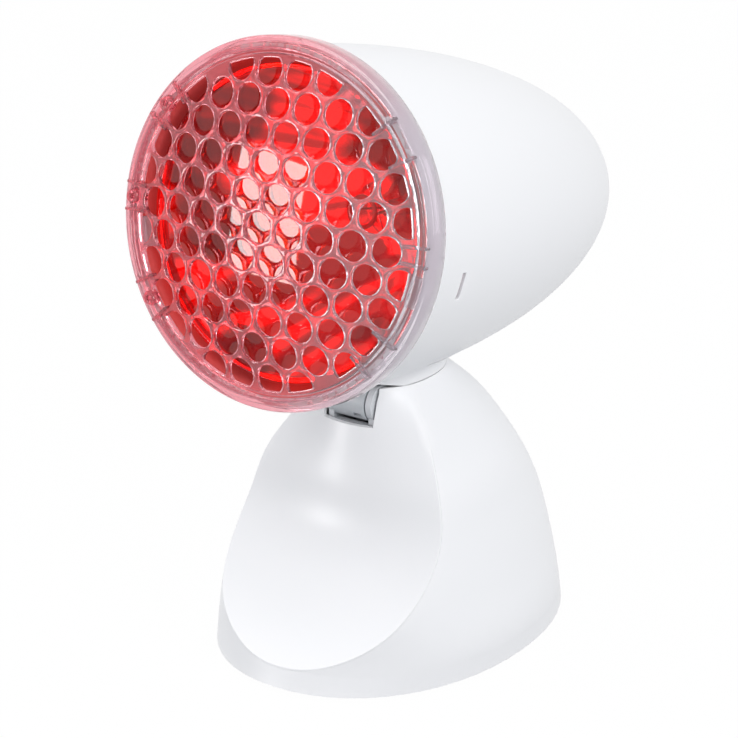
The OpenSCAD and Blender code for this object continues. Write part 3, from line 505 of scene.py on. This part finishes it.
# ---- Hinge frame -------------------------------------------------------------------------
# A grey moulded frame that stands on the foot plate and carries the pin between its two lugs.
# The pin is bright steel with a push on clip, and fibre washers give the friction.
frame_grey = moulded("frame_grey", (0.6, 0.62, 0.65), (0.55, 0.57, 0.6), 0.45, spread=0.1,
                     pit_scale=1300.0, pit_depth=0.00005, wear=(0.7, 0.71, 0.73))
spring_strip = moulded("spring_strip", (0.62, 0.63, 0.65), (0.5, 0.5, 0.53), 0.22, spread=0.15,
                       pit_scale=2000.0, pit_depth=0.00003, Metallic=1.0)
washer_fibre = moulded("washer_fibre", (0.09, 0.06, 0.045), (0.16, 0.11, 0.08), 0.85, spread=0.1,
                       pit_scale=1800.0, pit_depth=0.0001)
softened("hinge_frame", "neck_frame", 0.3, "stand", frame_grey)
softened("tilt_pin", "hinge_pin", 0.25, "stand", steel_screw)
dress(spring_strip, "pin_clip", "detent_spring")
dress(washer_fibre, "friction_washers")
dress(steel_screw, "frame_screws")

# ---- Switch, cord gland and wiring -------------------------------------------------------
# A black rocker switch snaps into the back of the shell above a white cord gland with a nut
# inside. Red silicone leads run from a cream terminal block with brass screws.
switch_black = moulded("switch_black", (0.02, 0.02, 0.022), (0.03, 0.03, 0.033), 0.3, spread=0.12,
                       pit_scale=2000.0, pit_depth=0.00004, wear=(0.1, 0.1, 0.105), Coat_Weight=0.2)
gland_white = moulded("gland_white", (0.84, 0.845, 0.85), (0.8, 0.805, 0.82), 0.42, spread=0.1,
                      pit_scale=1500.0, pit_depth=0.00003, wear=(0.9, 0.9, 0.9))
frame_dark = moulded("frame_dark", (0.06, 0.06, 0.065), (0.1, 0.1, 0.105), 0.48, spread=0.15,
                     pit_scale=1300.0, pit_depth=0.00008, wear=(0.2, 0.2, 0.21))
terminal_cream = moulded("terminal_cream", (0.72, 0.7, 0.6), (0.66, 0.63, 0.52), 0.45, spread=0.1,
                         pit_depth=0.00004, wear=(0.8, 0.78, 0.7))
brass = moulded("brass", (0.78, 0.58, 0.25), (0.62, 0.42, 0.16), 0.3, spread=0.2, pit_scale=2200.0,
                pit_depth=0.00003, Metallic=1.0)
lead_red = moulded("lead_red", (0.5, 0.03, 0.03), (0.4, 0.02, 0.025), 0.5, spread=0.12,
                   pit_scale=1800.0, pit_depth=0.00005, Sheen_Weight=0.2)
softened("switch_housing", "switch_body", 0.5, "stand", switch_black)
softened("switch_rocker", "rocker", 0.5, "rocker", switch_black)
softened("gland", "cord_gland", 0.5, "stand", gland_white)
softened("gland_lock_nut", "gland_nut", 0.4, "stand", frame_dark)
softened("terminal_strip", "terminal_block", 0.4, "stand", terminal_cream)
dress(brass, "switch_tabs", "terminal_screws")
dress(lead_red, "lead_stand", "lead_head")

# ---- Front panel -------------------------------------------------------------------------
# A petal shaped white moulding that closes the front of the stand. Its edge laps over the wall
# of the shell, the rest drops in behind it, and a notch at the top leaves room for the joint.
NOTCH_HALF, NOTCH_LOW = 12.0, 98.0
LAP = 2.7  # how far the thin edge reaches in before the full wall starts
PANEL_ROWS, NOTCH_ROWS, PANEL_SIDE, PANEL_MIDDLE = 30, 6, 12, 8


def panel_grid(back, thin_back):
    """The front surface moved back, as rows of heights from the tip and columns across. The
    middle columns are straight up, and end at the sides of the notch. Where the edge is nearer
    than LAP, the surface moves back by thin_back alone."""
    tip = crease_tip(thin_back)
    rise = (np.arange(PANEL_ROWS + 1) / PANEL_ROWS) ** 2
    z = np.concatenate([tip + 0.03 + (NOTCH_LOW - tip - 0.03) * rise,
                        np.linspace(NOTCH_LOW, NECK_RIM, NOTCH_ROWS + 1)[1:]])[:, None]
    edge = crease_x(z, thin_back)
    middle = np.minimum(NOTCH_HALF, 0.6 * edge)
    lap = np.minimum(LAP, 0.3 * (edge - middle))
    side = np.arange(1, PANEL_SIDE + 1) / PANEL_SIDE
    right = np.concatenate([middle + (edge - lap - middle) * side, edge - lap + 0.03, edge], 1)
    centre = middle * (2 * np.arange(PANEL_MIDDLE + 1) / PANEL_MIDDLE - 1)
    x = np.concatenate([-right[:, ::-1], centre, right], 1)
    depth = np.full(x.shape, back)
    depth[z[:, 0] < tip + LAP] = thin_back
    depth[:, :2] = depth[:, -2:] = thin_back
    return np.stack([x, panel_y(x, z) + depth, z + 0 * x], -1)


panel_outer, panel_inner = panel_grid(0.0, 0.0), panel_grid(STAND_WALL, LID_EDGE)
panel_solid = np.ones(np.array(panel_outer.shape[:2]) - 1, bool)
panel_solid[PANEL_ROWS:, PANEL_SIDE + 2:PANEL_SIDE + 2 + PANEL_MIDDLE] = False
PANEL_POSTS, POST_END = (40, 78), -29.1
panel_tubes = []
for height in PANEL_POSTS:
    # the front end follows the panel and stops in the middle of its wall
    start = float(panel_y(0.0, height))
    points, faces = screw_post(start, POST_END)
    x, y, z = points[:, 0], points[:, 2], height - points[:, 1]
    y = np.where(y < start + 0.1, panel_y(x, z) + STAND_WALL / 2, y)
    panel_tubes.append((np.stack([x, y, z], -1), faces))
shaped_piece("front_cover", joined(walled_grid(panel_outer, panel_inner, panel_solid), *panel_tubes),
             shell_white, "stand", "shell_white", "front_panel", rounds=0.25)
dress(steel_screw, "panel_screws")

# ---- Tilt bracket ------------------------------------------------------------------------
# A grey moulded bracket screwed under the head. Its barrel turns on the pin between the lugs,
# and the toothed sector below it clicks past the leaf spring.
bracket_grey = moulded("bracket_grey", (0.47, 0.5, 0.53), (0.42, 0.45, 0.48), 0.42, spread=0.1,
                       pit_scale=1500.0, pit_depth=0.00004, wear=(0.6, 0.62, 0.64))
softened("tilt_barrel", "tilt_bracket", 0.35, "head", bracket_grey)
dress(steel_screw, "bracket_screws")

# ---- Head shell --------------------------------------------------------------------------
# The bullet shaped white moulding of the head, 2.4 mm thick and open at the front. It has two
# windows low on its sides for the guard's hooks and three air slots on top of its tail.
FACE_Y, FACE_Z, FACE_TILT = -77.8, 192.9, math.radians(10)  # middle of the guard and its tilt
SHELL_RADIUS, SHELL_LENGTH, SHELL_WALL = 67.3, 221.0, 2.4
SHELL_FRONT, BLEND_START = 1.0, 150.0  # front edge, and where the inner wall starts to fall back
HOOK_ANGLES = (-12.5, 192.5)
WINDOW_SPAN, WINDOW_NEAR, WINDOW_FAR = 4.72, 28.7, 31.3  # half angle, and both ends
SLOT_STARTS, SLOT_WIDTH, SLOT_SPAN = (127, 134, 141), 2, 16
MOUTH_SPAN, MOUTH_NEAR, MOUTH_FAR = 7.2, 57.8, 83.5
LINE_ROOM, TURN_ROOM = 1.2, 0.8  # least mm and degrees between an opening's edge and a free line
PLATE_Z = 124.0
PLATE_POSTS = [(-13, -24, 4.2), (13, -24, 4.2), (-13, -4, 6.0), (13, -4, 6.0)]  # x, y, height


def in_head(points):
    """Moves points drawn about the lamp's axis, x to the right, y up and z out of its face, to
    the place and tilt of the head."""
    c, s = math.cos(FACE_TILT), math.sin(FACE_TILT)
    x, y, z = np.moveaxis(np.asarray(points, float), -1, 0)
    return np.stack([x, FACE_Y - z * c + y * s, FACE_Z + z * s + y * c], -1)


def shell_radius(back, radius=SHELL_RADIUS, length=SHELL_LENGTH):
    """Radius of the bullet: one less the distance share to the power 2.125, to the power 0.491."""
    return radius * np.maximum(0, 1 - np.clip(back / length, 0, 1) ** 2.125) ** 0.491


def about_axis(points):
    """How far points are behind the guard's plane, and how far from the lamp's axis."""
    c, s = math.cos(FACE_TILT), math.sin(FACE_TILT)
    x, y, z = np.moveaxis(points - (0, FACE_Y, FACE_Z), -1, 0)
    return y * c - z * s, np.hypot(x, y * s + z * c)


tail = SHELL_LENGTH * np.sin(np.linspace(1, 0, 56) * math.pi / 2)
lines = [WINDOW_NEAR, WINDOW_FAR, MOUTH_NEAR, MOUTH_FAR, SHELL_FRONT] + [
    start + side for start in SLOT_STARTS for side in (0, SLOT_WIDTH)]
tail = tail[(np.abs(tail[:, None] - lines).min(1) > LINE_ROOM) & (tail > SHELL_FRONT)]
tail = np.sort(np.concatenate([tail, lines]))[::-1]
turn_lines = [90 - SLOT_SPAN, 90 + SLOT_SPAN, 270 - MOUTH_SPAN, 270 + MOUTH_SPAN] + [
    angle % 360 + side for angle in HOOK_ANGLES for side in (-WINDOW_SPAN, WINDOW_SPAN)]
turn = np.arange(0, 360, 2.5)
turn = turn[np.abs(turn[:, None] - turn_lines).min(1) > TURN_ROOM]
turn = np.sort(np.concatenate([turn, turn_lines]))
blend_in = np.clip((tail - BLEND_START) / (SHELL_LENGTH - BLEND_START), 0, 1)
inner_tail = tail - SHELL_WALL * blend_in


def bullet_grid(back, radius):
    """Rows of rings from the tip of the tail to the front, each as points about the axis."""
    angle = np.radians(turn)
    return np.stack([radius[:, None] * np.cos(angle), radius[:, None] * np.sin(angle),
                     np.repeat(-back[:, None], len(turn), 1)], -1)


head_outer = bullet_grid(tail, shell_radius(tail))
head_inner = bullet_grid(inner_tail, shell_radius(inner_tail, SHELL_RADIUS - SHELL_WALL,
                                                  SHELL_LENGTH - SHELL_WALL))
head_solid = np.ones((len(tail) - 1, len(turn)), bool)
cell_back = (tail[:-1] + tail[1:]) / 2
cell_turn = (turn + np.append(turn[1:], turn[0] + 360)) / 2
openings = [(start, start + SLOT_WIDTH, 90, SLOT_SPAN) for start in SLOT_STARTS]
openings += [(WINDOW_NEAR, WINDOW_FAR, angle % 360, WINDOW_SPAN) for angle in HOOK_ANGLES]
openings += [(MOUTH_NEAR, MOUTH_FAR, 270, MOUTH_SPAN)]
for near, far, middle, span in openings:
    head_solid[np.ix_((cell_back > near) & (cell_back < far), abs(cell_turn - middle) < span)] = False
head_points, head_faces = walled_grid(head_outer, head_inner, head_solid, wrap=True)
STRAP_X, STRAP_BACK, POST_ROOT = 41.0, 126.6, 159.12
plate_tubes = [screw_post(PLATE_Z - height, PLATE_Z, x, y) for x, y, height in PLATE_POSTS]
strap_tubes = []
for x in (-STRAP_X, STRAP_X):
    points, faces = screw_post(-POST_ROOT, -STRAP_BACK, x)
    strap_tubes.append((in_head(points), faces))
head_shape = joined((in_head(head_points), head_faces), *plate_tubes, *strap_tubes)
bullet = shaped_piece("head_bullet", head_shape, shell_white, "head", "shell_white", "head_shell", rounds=0.3)

# The inner wall round the bulb is painted with the red light that the ruby glass throws on it,
# and glows faintly red as painted light. Its faces lie more than 0.8 of a wall under the outer
# surface, and the front edge stays white.
LIT_DEPTH, FRONT_ROOM, INNER_SHARE = 120.0, 0.2, 0.8
mouth_lit = moulded("mouth_lit", (0.86, 0.16, 0.16), (0.84, 0.26, 0.25), 0.4, spread=0.05,
                    pit_scale=1500.0, pit_depth=0.000002, Emission_Color=(1, 0.08, 0.08, 1),
                    Emission_Strength=0.12)
bullet.data.materials.append(mouth_lit)
centres = np.empty(len(bullet.data.polygons) * 3)
bullet.data.polygons.foreach_get("center", centres)
behind, from_axis = about_axis(centres.reshape(-1, 3) * 1000)
inner = from_axis < shell_radius(behind) - SHELL_WALL * INNER_SHARE
lit = inner & (behind < LIT_DEPTH) & (behind > SHELL_FRONT + FRONT_ROOM)
bullet.data.polygons.foreach_set("material_index", lit.astype(np.int32))

# ---- Neck collar -------------------------------------------------------------------------
# A white skirt moulded to the underside of the head. It carries on the lines of the stand,
# flares out to meet the shell, and a curved apron inside keeps the neck shut as the head tips.
COLLAR_GAP, COLLAR_WALL, COLLAR_TOP = 0.4, 2.2, 10.4
FLARE, FLARE_RISE, FLARE_POWER = 8.0, 10.0, 2.9
FRONT_SLOPE, SLOPE_START = 14.0, -19.0  # the lower edge climbs by this angle in front of this y
PIVOT_Y, PIVOT_Z = -24.0, 106.0


def collar_point(angle, rise, inset):
    """Point of the collar at a rise above the stand: the stand's upper outline, moved out by the
    flare, which grows with a power of the rise."""
    flare = FLARE * (rise / FLARE_RISE) ** FLARE_POWER
    angle = angle + 0 * rise
    points = plan_outline(angle, NECK_RIM + 0 * angle, inset - flare)
    points[..., 2] = NECK_RIM + rise
    return points


def under_shell(points):
    """Distance from points to the head's surface, square to its axis, less than 0 inside."""
    behind, from_axis = about_axis(points)
    return from_axis - shell_radius(behind)


collar_turn = np.linspace(0, 2 * math.pi, 180, endpoint=False)
low, high = np.zeros(len(collar_turn)), np.full(len(collar_turn), COLLAR_TOP)
for _ in range(30):
    rise = (low + high) / 2
    outside = under_shell(collar_point(collar_turn, rise, 0.0)) > -0.15
    low, high = np.where(outside, rise, low), np.where(outside, high, rise)
collar_top = low
rim_y = collar_point(collar_turn, np.zeros(len(collar_turn)), 0.0)[:, 1]
collar_foot = COLLAR_GAP + np.maximum(0, math.tan(math.radians(FRONT_SLOPE)) * (SLOPE_START - rim_y))
collar_foot = np.minimum(collar_foot, collar_top - 0.4)
collar_rise = collar_foot + (collar_top - collar_foot) * (np.arange(11)[:, None] / 10) ** 0.8
collar_shape = walled_grid(collar_point(collar_turn, collar_rise, 0.0),
                           collar_point(collar_turn, collar_rise, COLLAR_WALL), wrap=True)
APRON_SIDE = np.array([(-12, 42), (-12, 13), (-10.8, 13), (-10.8, 40.8),
                       (10.8, 40.8), (10.8, 13), (12, 13), (12, 42)])
apron_angle = np.radians(np.linspace(-26, 12, 20))
apron = np.stack([np.tile(APRON_SIDE[:, 0], (len(apron_angle), 1)),
                  PIVOT_Y + np.cos(apron_angle)[:, None] * APRON_SIDE[:, 1],
                  PIVOT_Z + np.sin(apron_angle)[:, None] * APRON_SIDE[:, 1]], -1)
apron_index = np.arange(apron.size // 3).reshape(len(apron_angle), -1)
apron_next = np.roll(apron_index, -1, 1)
apron_faces = quads(apron_index[:-1], apron_next[:-1], apron_next[1:], apron_index[1:]).tolist()
apron_faces += [apron_index[0, ::-1].tolist(), apron_index[-1].tolist()]
shaped_piece("collar", joined(collar_shape), shell_white, "head", "shell_white", "neck_collar", rounds=0.25)
shaped_piece("collar_apron", (apron.reshape(-1, 3), apron_faces), shell_white, "head", "shell_white",
             rounds=0.25)

# ---- Lamp holder ---------------------------------------------------------------------------
# A glazed ceramic holder with a brass thread, clamped by a steel strap on two posts of the
# shell, with a thermal cut-out on the strap and a bright heat shield in front.
glazed_ceramic = moulded("glazed_ceramic", (0.83, 0.8, 0.74), (0.76, 0.72, 0.64), 0.18, spread=0.1,
                         pit_scale=500.0, pit_depth=0.00003, wear=(0.6, 0.55, 0.48), Coat_Weight=0.4)
bright_sheet = moulded("bright_sheet", (0.8, 0.81, 0.82), (0.7, 0.71, 0.73), 0.16, spread=0.12,
                       pit_scale=500.0, pit_depth=0.00003, Metallic=1.0)
softened("ceramic_holder", "lamp_holder", 0.8, "head", glazed_ceramic)
softened("clamp_strap", "holder_strap", 0.3, "head", spring_strip)
dress(glazed_ceramic, "thermal_cutout")
dress(bright_sheet, "heat_shield")
dress(brass, "holder_thread", "holder_contact")
dress(steel_screw, "strap_screws")

# ---- Infrared bulb -------------------------------------------------------------------------
# A blown reflector bulb with a pressed ruby lens, a mirrored funnel behind it that narrows to
# the screw cap, and a glass stem that carries the filament. The mirror has painted reflections:
# dark patches, and a red glow between them. The lens has a faint painted red glow, as if lit.
BULB_RADIUS, LENS_BACK, LENS_SAG, LENS_GLASS = 60.5, -1.0, 5.0, 2.5
FUNNEL_FRONT, FUNNEL_END, CAP_BACK = LENS_BACK + 7.5, LENS_BACK + 96.0, LENS_BACK + 105.0
CAP_RADIUS, FUNNEL_GLASS, THROAT_RADIUS, BAND = 13.3, 1.6, 16.0, 3.0


def shaded_off(material, level, low, high, colour, glow=None):
    """Mixes a second colour into a material where a level, a socket of its node tree, rises from
    low to high. The glow, if given, is the emission colour where that level is low."""
    tree = material.node_tree
    share = add_node(tree, "ShaderNodeMapRange", {"interpolation_type": "SMOOTHSTEP"}, Value=level,
                     From_Min=low, From_Max=high).outputs["Result"]
    shade = next(node for node in tree.nodes if node.type == "BSDF_PRINCIPLED")
    base = shade.inputs["Base Color"]
    tree.links.new(add_node(tree, "ShaderNodeMix", {"data_type": "RGBA"}, i0=share,
                            i6=base.links[0].from_socket, i7=colour + (1,)).outputs[2], base)
    if glow:
        faint = tuple(0.06 * value for value in glow)
        glowing = add_node(tree, "ShaderNodeMix", {"data_type": "RGBA"}, i0=share, i6=glow + (1,),
                           i7=faint + (1,))
        tree.links.new(glowing.outputs[2], shade.inputs["Emission Color"])


def object_place(material):
    """The Object coordinates socket of a material."""
    return material.node_tree.nodes.new("ShaderNodeTexCoord").outputs["Object"]


# The lens's red emission is a faint painted glow.
ruby_glass = moulded("ruby_glass", (0.98, 0.012, 0.012), (0.97, 0.1, 0.012), 0.02, spread=0.01,
                     pit_scale=25.0, pit_depth=0.00001, drift_scale=22.0, Transmission_Weight=1.0,
                     IOR=1.5, Specular_IOR_Level=0.22, Emission_Color=(1, 0.01, 0.01, 1),
                     Emission_Strength=0.05)
ruby_mirror = moulded("ruby_mirror", (1.0, 0.3, 0.12), (0.96, 0.16, 0.12), 0.06, spread=0.05,
                      pit_scale=12.0, pit_depth=0.00002, Metallic=1.0, Emission_Strength=0.17)
# Painted reflections: where this noise is high the mirror turns dark maroon, and where it is low it glows
# orange red.
patches = add_node(ruby_mirror.node_tree, "ShaderNodeTexNoise", Vector=object_place(ruby_mirror),
                   Scale=17.0, Detail=0.6, Distortion=0.9)
shaded_off(ruby_mirror, patches.outputs["Fac"], 0.49, 0.57, (0.12, 0.003, 0.003), glow=(0.9, 0.06, 0.015))
cap_nickel = moulded("cap_nickel", (0.7, 0.68, 0.63), (0.6, 0.57, 0.5), 0.25, spread=0.2,
                     pit_scale=1800.0, pit_depth=0.00003, Metallic=1.0)
cap_glass = moulded("cap_glass", (0.02, 0.015, 0.02), (0.05, 0.03, 0.05), 0.12, pit_scale=400.0)
stem_glass = moulded("stem_glass", (0.95, 0.97, 0.98), (0.9, 0.94, 0.95), 0.02, spread=0.01,
                     pit_scale=60.0, Transmission_Weight=1.0, IOR=1.5)
tungsten = moulded("tungsten", (0.36, 0.34, 0.33), (0.28, 0.26, 0.25), 0.4, spread=0.1,
                   pit_scale=3000.0, Metallic=1.0)
lens_r = np.linspace(0, BULB_RADIUS, 40)
lens_z = -LENS_BACK - LENS_SAG * (lens_r / BULB_RADIUS) ** 2
lens_profile = list(zip(lens_r, lens_z - LENS_GLASS))
lens_profile += [(BULB_RADIUS, lens_z[-1] - 0.8), (BULB_RADIUS - 0.3, lens_z[-1] - 0.2)]
lens_profile += list(zip(lens_r[-2::-1], lens_z[-2::-1]))
lens_points, lens_faces = turned(lens_profile, 144)
shaped_piece("ruby_lens", (in_head(lens_points), lens_faces), ruby_glass, "head", "ruby_glass",
             "bulb_lens")
share = np.linspace(0, 1, 48)
funnel_r = THROAT_RADIUS + (BULB_RADIUS - THROAT_RADIUS) * (1 - share) ** 0.62
funnel_z = -(FUNNEL_FRONT + BAND) - (FUNNEL_END - FUNNEL_FRONT - BAND) * share
funnel_profile = [(CAP_RADIUS - FUNNEL_GLASS, -CAP_BACK), (CAP_RADIUS, -CAP_BACK)]
funnel_profile += list(zip(funnel_r[::-1], funnel_z[::-1]))
funnel_profile += [(BULB_RADIUS, -FUNNEL_FRONT), (BULB_RADIUS - 1.8, -FUNNEL_FRONT)]
funnel_profile += list(zip(funnel_r - FUNNEL_GLASS, funnel_z))
funnel_points, funnel_faces = turned(funnel_profile, 144)
shaped_piece("mirror_funnel", (in_head(funnel_points), funnel_faces), ruby_mirror, "head", "ruby_glass",
             "bulb_reflector", sharp=50)
softened("screw_cap", "bulb_cap", 0.3, "head", cap_nickel)
dress(cap_nickel, "bulb_contact")
dress(cap_glass, "bulb_insulator")
dress(stem_glass, "bulb_stem")
dress(tungsten, "filament")

# ---- Guard ---------------------------------------------------------------------------------
# A domed finger guard moulded in clear plastic: a field of round holes in a hexagonal pattern,
# a stepped rim with a broken ridge, short ribs and three round bosses, and two arms that hook
# into the shell. Its colour holds painted red light from the bulb: pink at the left, fading to
# lilac at the right.
FIELD_RADIUS, GUARD_WALL = 64.0, 2.0
DOME_TOP, DOME_RADIUS = 12.6, 227.2
HOLE_PITCH, HOLE_RADIUS, HOLE_LIMIT, HOLE_SIDES = 13.35, 5.8, 62.8, 40
FIELD_EDGE, RIM_SIDES = 63.9, 360


def dome_z(radius, wall=0.0):
    """Height of the dome over the guard plane: a sphere's cap, or one drawn in by the wall."""
    return DOME_TOP - DOME_RADIUS + np.sqrt((DOME_RADIUS - wall) ** 2 - radius**2)


column, row = np.meshgrid(np.arange(-5, 6), np.arange(-5, 6))
hole_x = (column + (row % 2) / 2) * HOLE_PITCH
hole_y = row * HOLE_PITCH * math.sqrt(3) / 2
near_enough = np.hypot(hole_x, hole_y) < FIELD_RADIUS - 0.6
holes = np.stack([hole_x[near_enough], hole_y[near_enough]], -1)


def hole_rings(grow, wall, sink):
    """One ring of points round every hole, grown by grow and held inside the field, on the
    dome's outer or inner face and moved into the wall by sink."""
    angle = np.arange(HOLE_SIDES) * 2 * math.pi / HOLE_SIDES
    flat = holes[:, None] + (HOLE_RADIUS + grow) * np.stack([np.cos(angle), np.sin(angle)], -1)
    reach = np.linalg.norm(flat, axis=-1, keepdims=True)
    flat = flat * np.minimum(1, (HOLE_LIMIT + grow) / reach)
    height = dome_z(np.linalg.norm(flat, axis=-1), wall) + sink
    return np.concatenate([flat, height[..., None]], -1)


rings = np.stack([hole_rings(0.45, 0, 0), hole_rings(0.13, 0, -0.13), hole_rings(0, 0, -0.45),
                  hole_rings(0, GUARD_WALL, 0.45), hole_rings(0.13, GUARD_WALL, 0.13),
                  hole_rings(0.45, GUARD_WALL, 0)])
ring_index = np.arange(rings.size // 3).reshape(rings.shape[:3])
ring_next = np.roll(ring_index, -1, -1)
wall_faces = quads(ring_index[:-1], ring_next[:-1], ring_next[1:], ring_index[1:])

# The rim's section, from the back of the field round the skirt to the front of the field, as
# radius, height and how far the ridge raises the point. The ridge is raised along its arcs.
RIDGE_ARCS = [(-31, 31), (44.4, 138), (151.4, 208.6), (222, 315.6)]
RIDGE_SLOPE = 1.2  # degrees over which an arc's end slopes down
rim_angle = np.arange(RIM_SIDES) * 360 / RIM_SIDES
ridge = np.zeros(RIM_SIDES)
for begin, end in RIDGE_ARCS:
    inside = np.minimum((rim_angle - begin) % 360, (end - rim_angle) % 360)
    on_arc = (rim_angle - begin) % 360 <= end - begin
    ridge = np.maximum(ridge, np.where(on_arc, np.clip(inside / RIDGE_SLOPE, 0, 1), 0))
rim_section = np.array([
    (FIELD_EDGE, dome_z(FIELD_EDGE, GUARD_WALL), 0), (64.2, -0.8, 0), (64.5, -1, 0), (68.6, -1, 0),
    (69, -1.4, 0), (69, -6.7, 0), (69.3, -7, 0), (70.7, -7, 0), (71, -6.7, 0), (71, 0.9, 0),
    (70.85, 1.4, 0), (70.3, 1.75, 0), (68.7, 2.1, 0), (68.45, 2.25, 0.55), (68.3, 2.3, 1.35),
    (68.0, 2.4, 1.65), (66.8, 2.65, 1.65), (66.5, 2.7, 1.4), (66.3, 2.75, 0.5), (66.0, 2.85, 0),
    (64.6, 3.2, 0), (FIELD_EDGE, dome_z(FIELD_EDGE), 0)])
rim_z = rim_section[:, 1] + ridge[:, None] * rim_section[:, 2]
rim_turn = np.radians(rim_angle)[:, None]
rim = np.stack([np.cos(rim_turn) * rim_section[:, 0], np.sin(rim_turn) * rim_section[:, 0], rim_z], -1)
rim_index = np.arange(rim.size // 3).reshape(rim.shape[:2]) + rings.size // 3
rim_after = np.roll(rim_index, -1, 0)
rim_faces = quads(rim_index[:, :-1], rim_after[:, :-1], rim_after[:, 1:], rim_index[:, 1:])

# The web between the holes: a flat triangulation of the hole edges and the field's edge, used
# once for the front and once, turned over, for the back.
web_points = np.concatenate([rings[0].reshape(-1, 3), rim[:, -1]])[:, :2]
loops = len(holes) * HOLE_SIDES
round_rim = np.arange(RIM_SIDES)
loop_edges = np.concatenate([np.stack([ring_index[0], ring_next[0]], -1).reshape(-1, 2),
                             loops + np.stack([round_rim, (round_rim + 1) % RIM_SIDES], -1)])
web = delaunay_2d_cdt([Vector(p) for p in web_points], loop_edges.tolist(), [], 0, 1e-6)
source = np.array([origin[0] for origin in web[3]])
web_faces = source[np.array(web[2])]
owner = web_faces // HOLE_SIDES
in_hole = (web_faces < loops).all(1) & (owner[:, 0] == owner[:, 1]) & (owner[:, 1] == owner[:, 2])
web_faces = web_faces[~in_hole]
on_field = web_faces < loops
on_rim = np.where(on_field, 0, web_faces - loops)
front_faces = np.where(on_field, web_faces, rim_index[on_rim, -1])
back_faces = np.where(on_field, web_faces + ring_index[-1, 0, 0], rim_index[on_rim, 0])
guard_faces = wall_faces.tolist() + rim_faces.tolist()
guard_faces += front_faces.tolist() + back_faces[:, ::-1].tolist()
guard_points = np.concatenate([rings.reshape(-1, 3), rim.reshape(-1, 3)])

# The pink of the clear plastic is painted red light from the bulb.
guard_clear = moulded("guard_clear", (0.97, 0.42, 0.47), (0.95, 0.35, 0.41), 0.05, spread=0.02,
                      pit_scale=30.0, pit_depth=0.00004, Transmission_Weight=0.9, IOR=1.49,
                      Specular_IOR_Level=0.4)
# The painted red light fades out to lilac towards the guard's right, along object X.
across = add_node(guard_clear.node_tree, "ShaderNodeSeparateXYZ", Vector=object_place(guard_clear))
shaded_off(guard_clear, across.outputs["X"], -0.01, 0.06, (0.8, 0.75, 0.8))
arm_clear = moulded("arm_clear", (0.78, 0.7, 0.73), (0.74, 0.66, 0.7), 0.12, spread=0.04,
                    pit_scale=600.0, pit_depth=0.00001, Transmission_Weight=0.15, IOR=1.49)


def turned_by(degrees, shape):
    """A shape turned about the lamp's axis."""
    points, faces = shape
    c, s = math.cos(math.radians(degrees)), math.sin(math.radians(degrees))
    x, y, z = points.T
    return np.stack([x * c - y * s, x * s + y * c, z], -1), faces


def rib(section, half):
    """A flat rib: a section of (radius, height) points, as thick as twice half."""
    section = np.array(section, float)
    count = len(section)
    flat = np.stack([section[:, 0], 0 * section[:, 0], section[:, 1]], -1)
    around = np.arange(count)
    after = np.roll(around, -1)
    sides = quads(around, after, after + count, around + count)
    return (np.concatenate([flat - (0, half, 0), flat + (0, half, 0)]),
            sides[:, ::-1].tolist() + [around.tolist(), (around[::-1] + count).tolist()])


RIB_ANGLES = (-44.4, -31, -3, 3, 31, 44.4, 138, 151.4, 175.5, 184.5, 208.6, 222)
RIB_SECTION = [(59, 3), (64, 0.8), (69.4, 0.8), (69.4, 3.9), (66.4, 4.6), (59, 5.6)]
ribs = [turned_by(angle, rib(RIB_SECTION, 0.6)) for angle in RIB_ANGLES]
# Each arm is a root behind the rim, a blade along the shell's inner wall and a hook at its end.
ARM_OUT, ARM_HALF, HOOK_HALF = SHELL_RADIUS - SHELL_WALL - 1.3, 6.0, 4.6
arms = []
for angle in HOOK_ANGLES:
    for near, far, half, back, front in ((-1.2, 0.6, ARM_HALF, -14, -0.2), (-1.8, 0, ARM_HALF, -32.4, -13),
                                         (-0.5, 2.2, HOOK_HALF, -31.1, -28.9)):
        arms.append(turned_by(angle, block((ARM_OUT + near, -half, back), (ARM_OUT + far, half, front))))
BOSS_ANGLES, BOSS_PLACE = (144.7, 180, 215.3), 65.6
BOSS_SECTION = [(1.2, 2.0), (3.1, 1.6), (2.8, 4.4), (2.5, 4.8), (1.9, 4.9), (1.2, 4.5)]
boss_points, boss_faces = turned(BOSS_SECTION, 28)
bosses = [turned_by(angle, (boss_points + (BOSS_PLACE, 0, 0), boss_faces)) for angle in BOSS_ANGLES]
shaped_piece("finger_guard", (in_head(guard_points), guard_faces), guard_clear, "head", "guard_clear",
             "guard", sharp=45, merge=2e-7)
for name, shapes, finish, rounding in (("guard_ribs", ribs, guard_clear, 0.25),
                                       ("guard_arms", arms, arm_clear, 0.4),
                                       ("guard_bosses", bosses, guard_clear, 0.0)):
    points, faces = joined(*shapes)
    shaped_piece(name, (in_head(points), faces), finish, "head", "guard_clear", rounds=rounding)
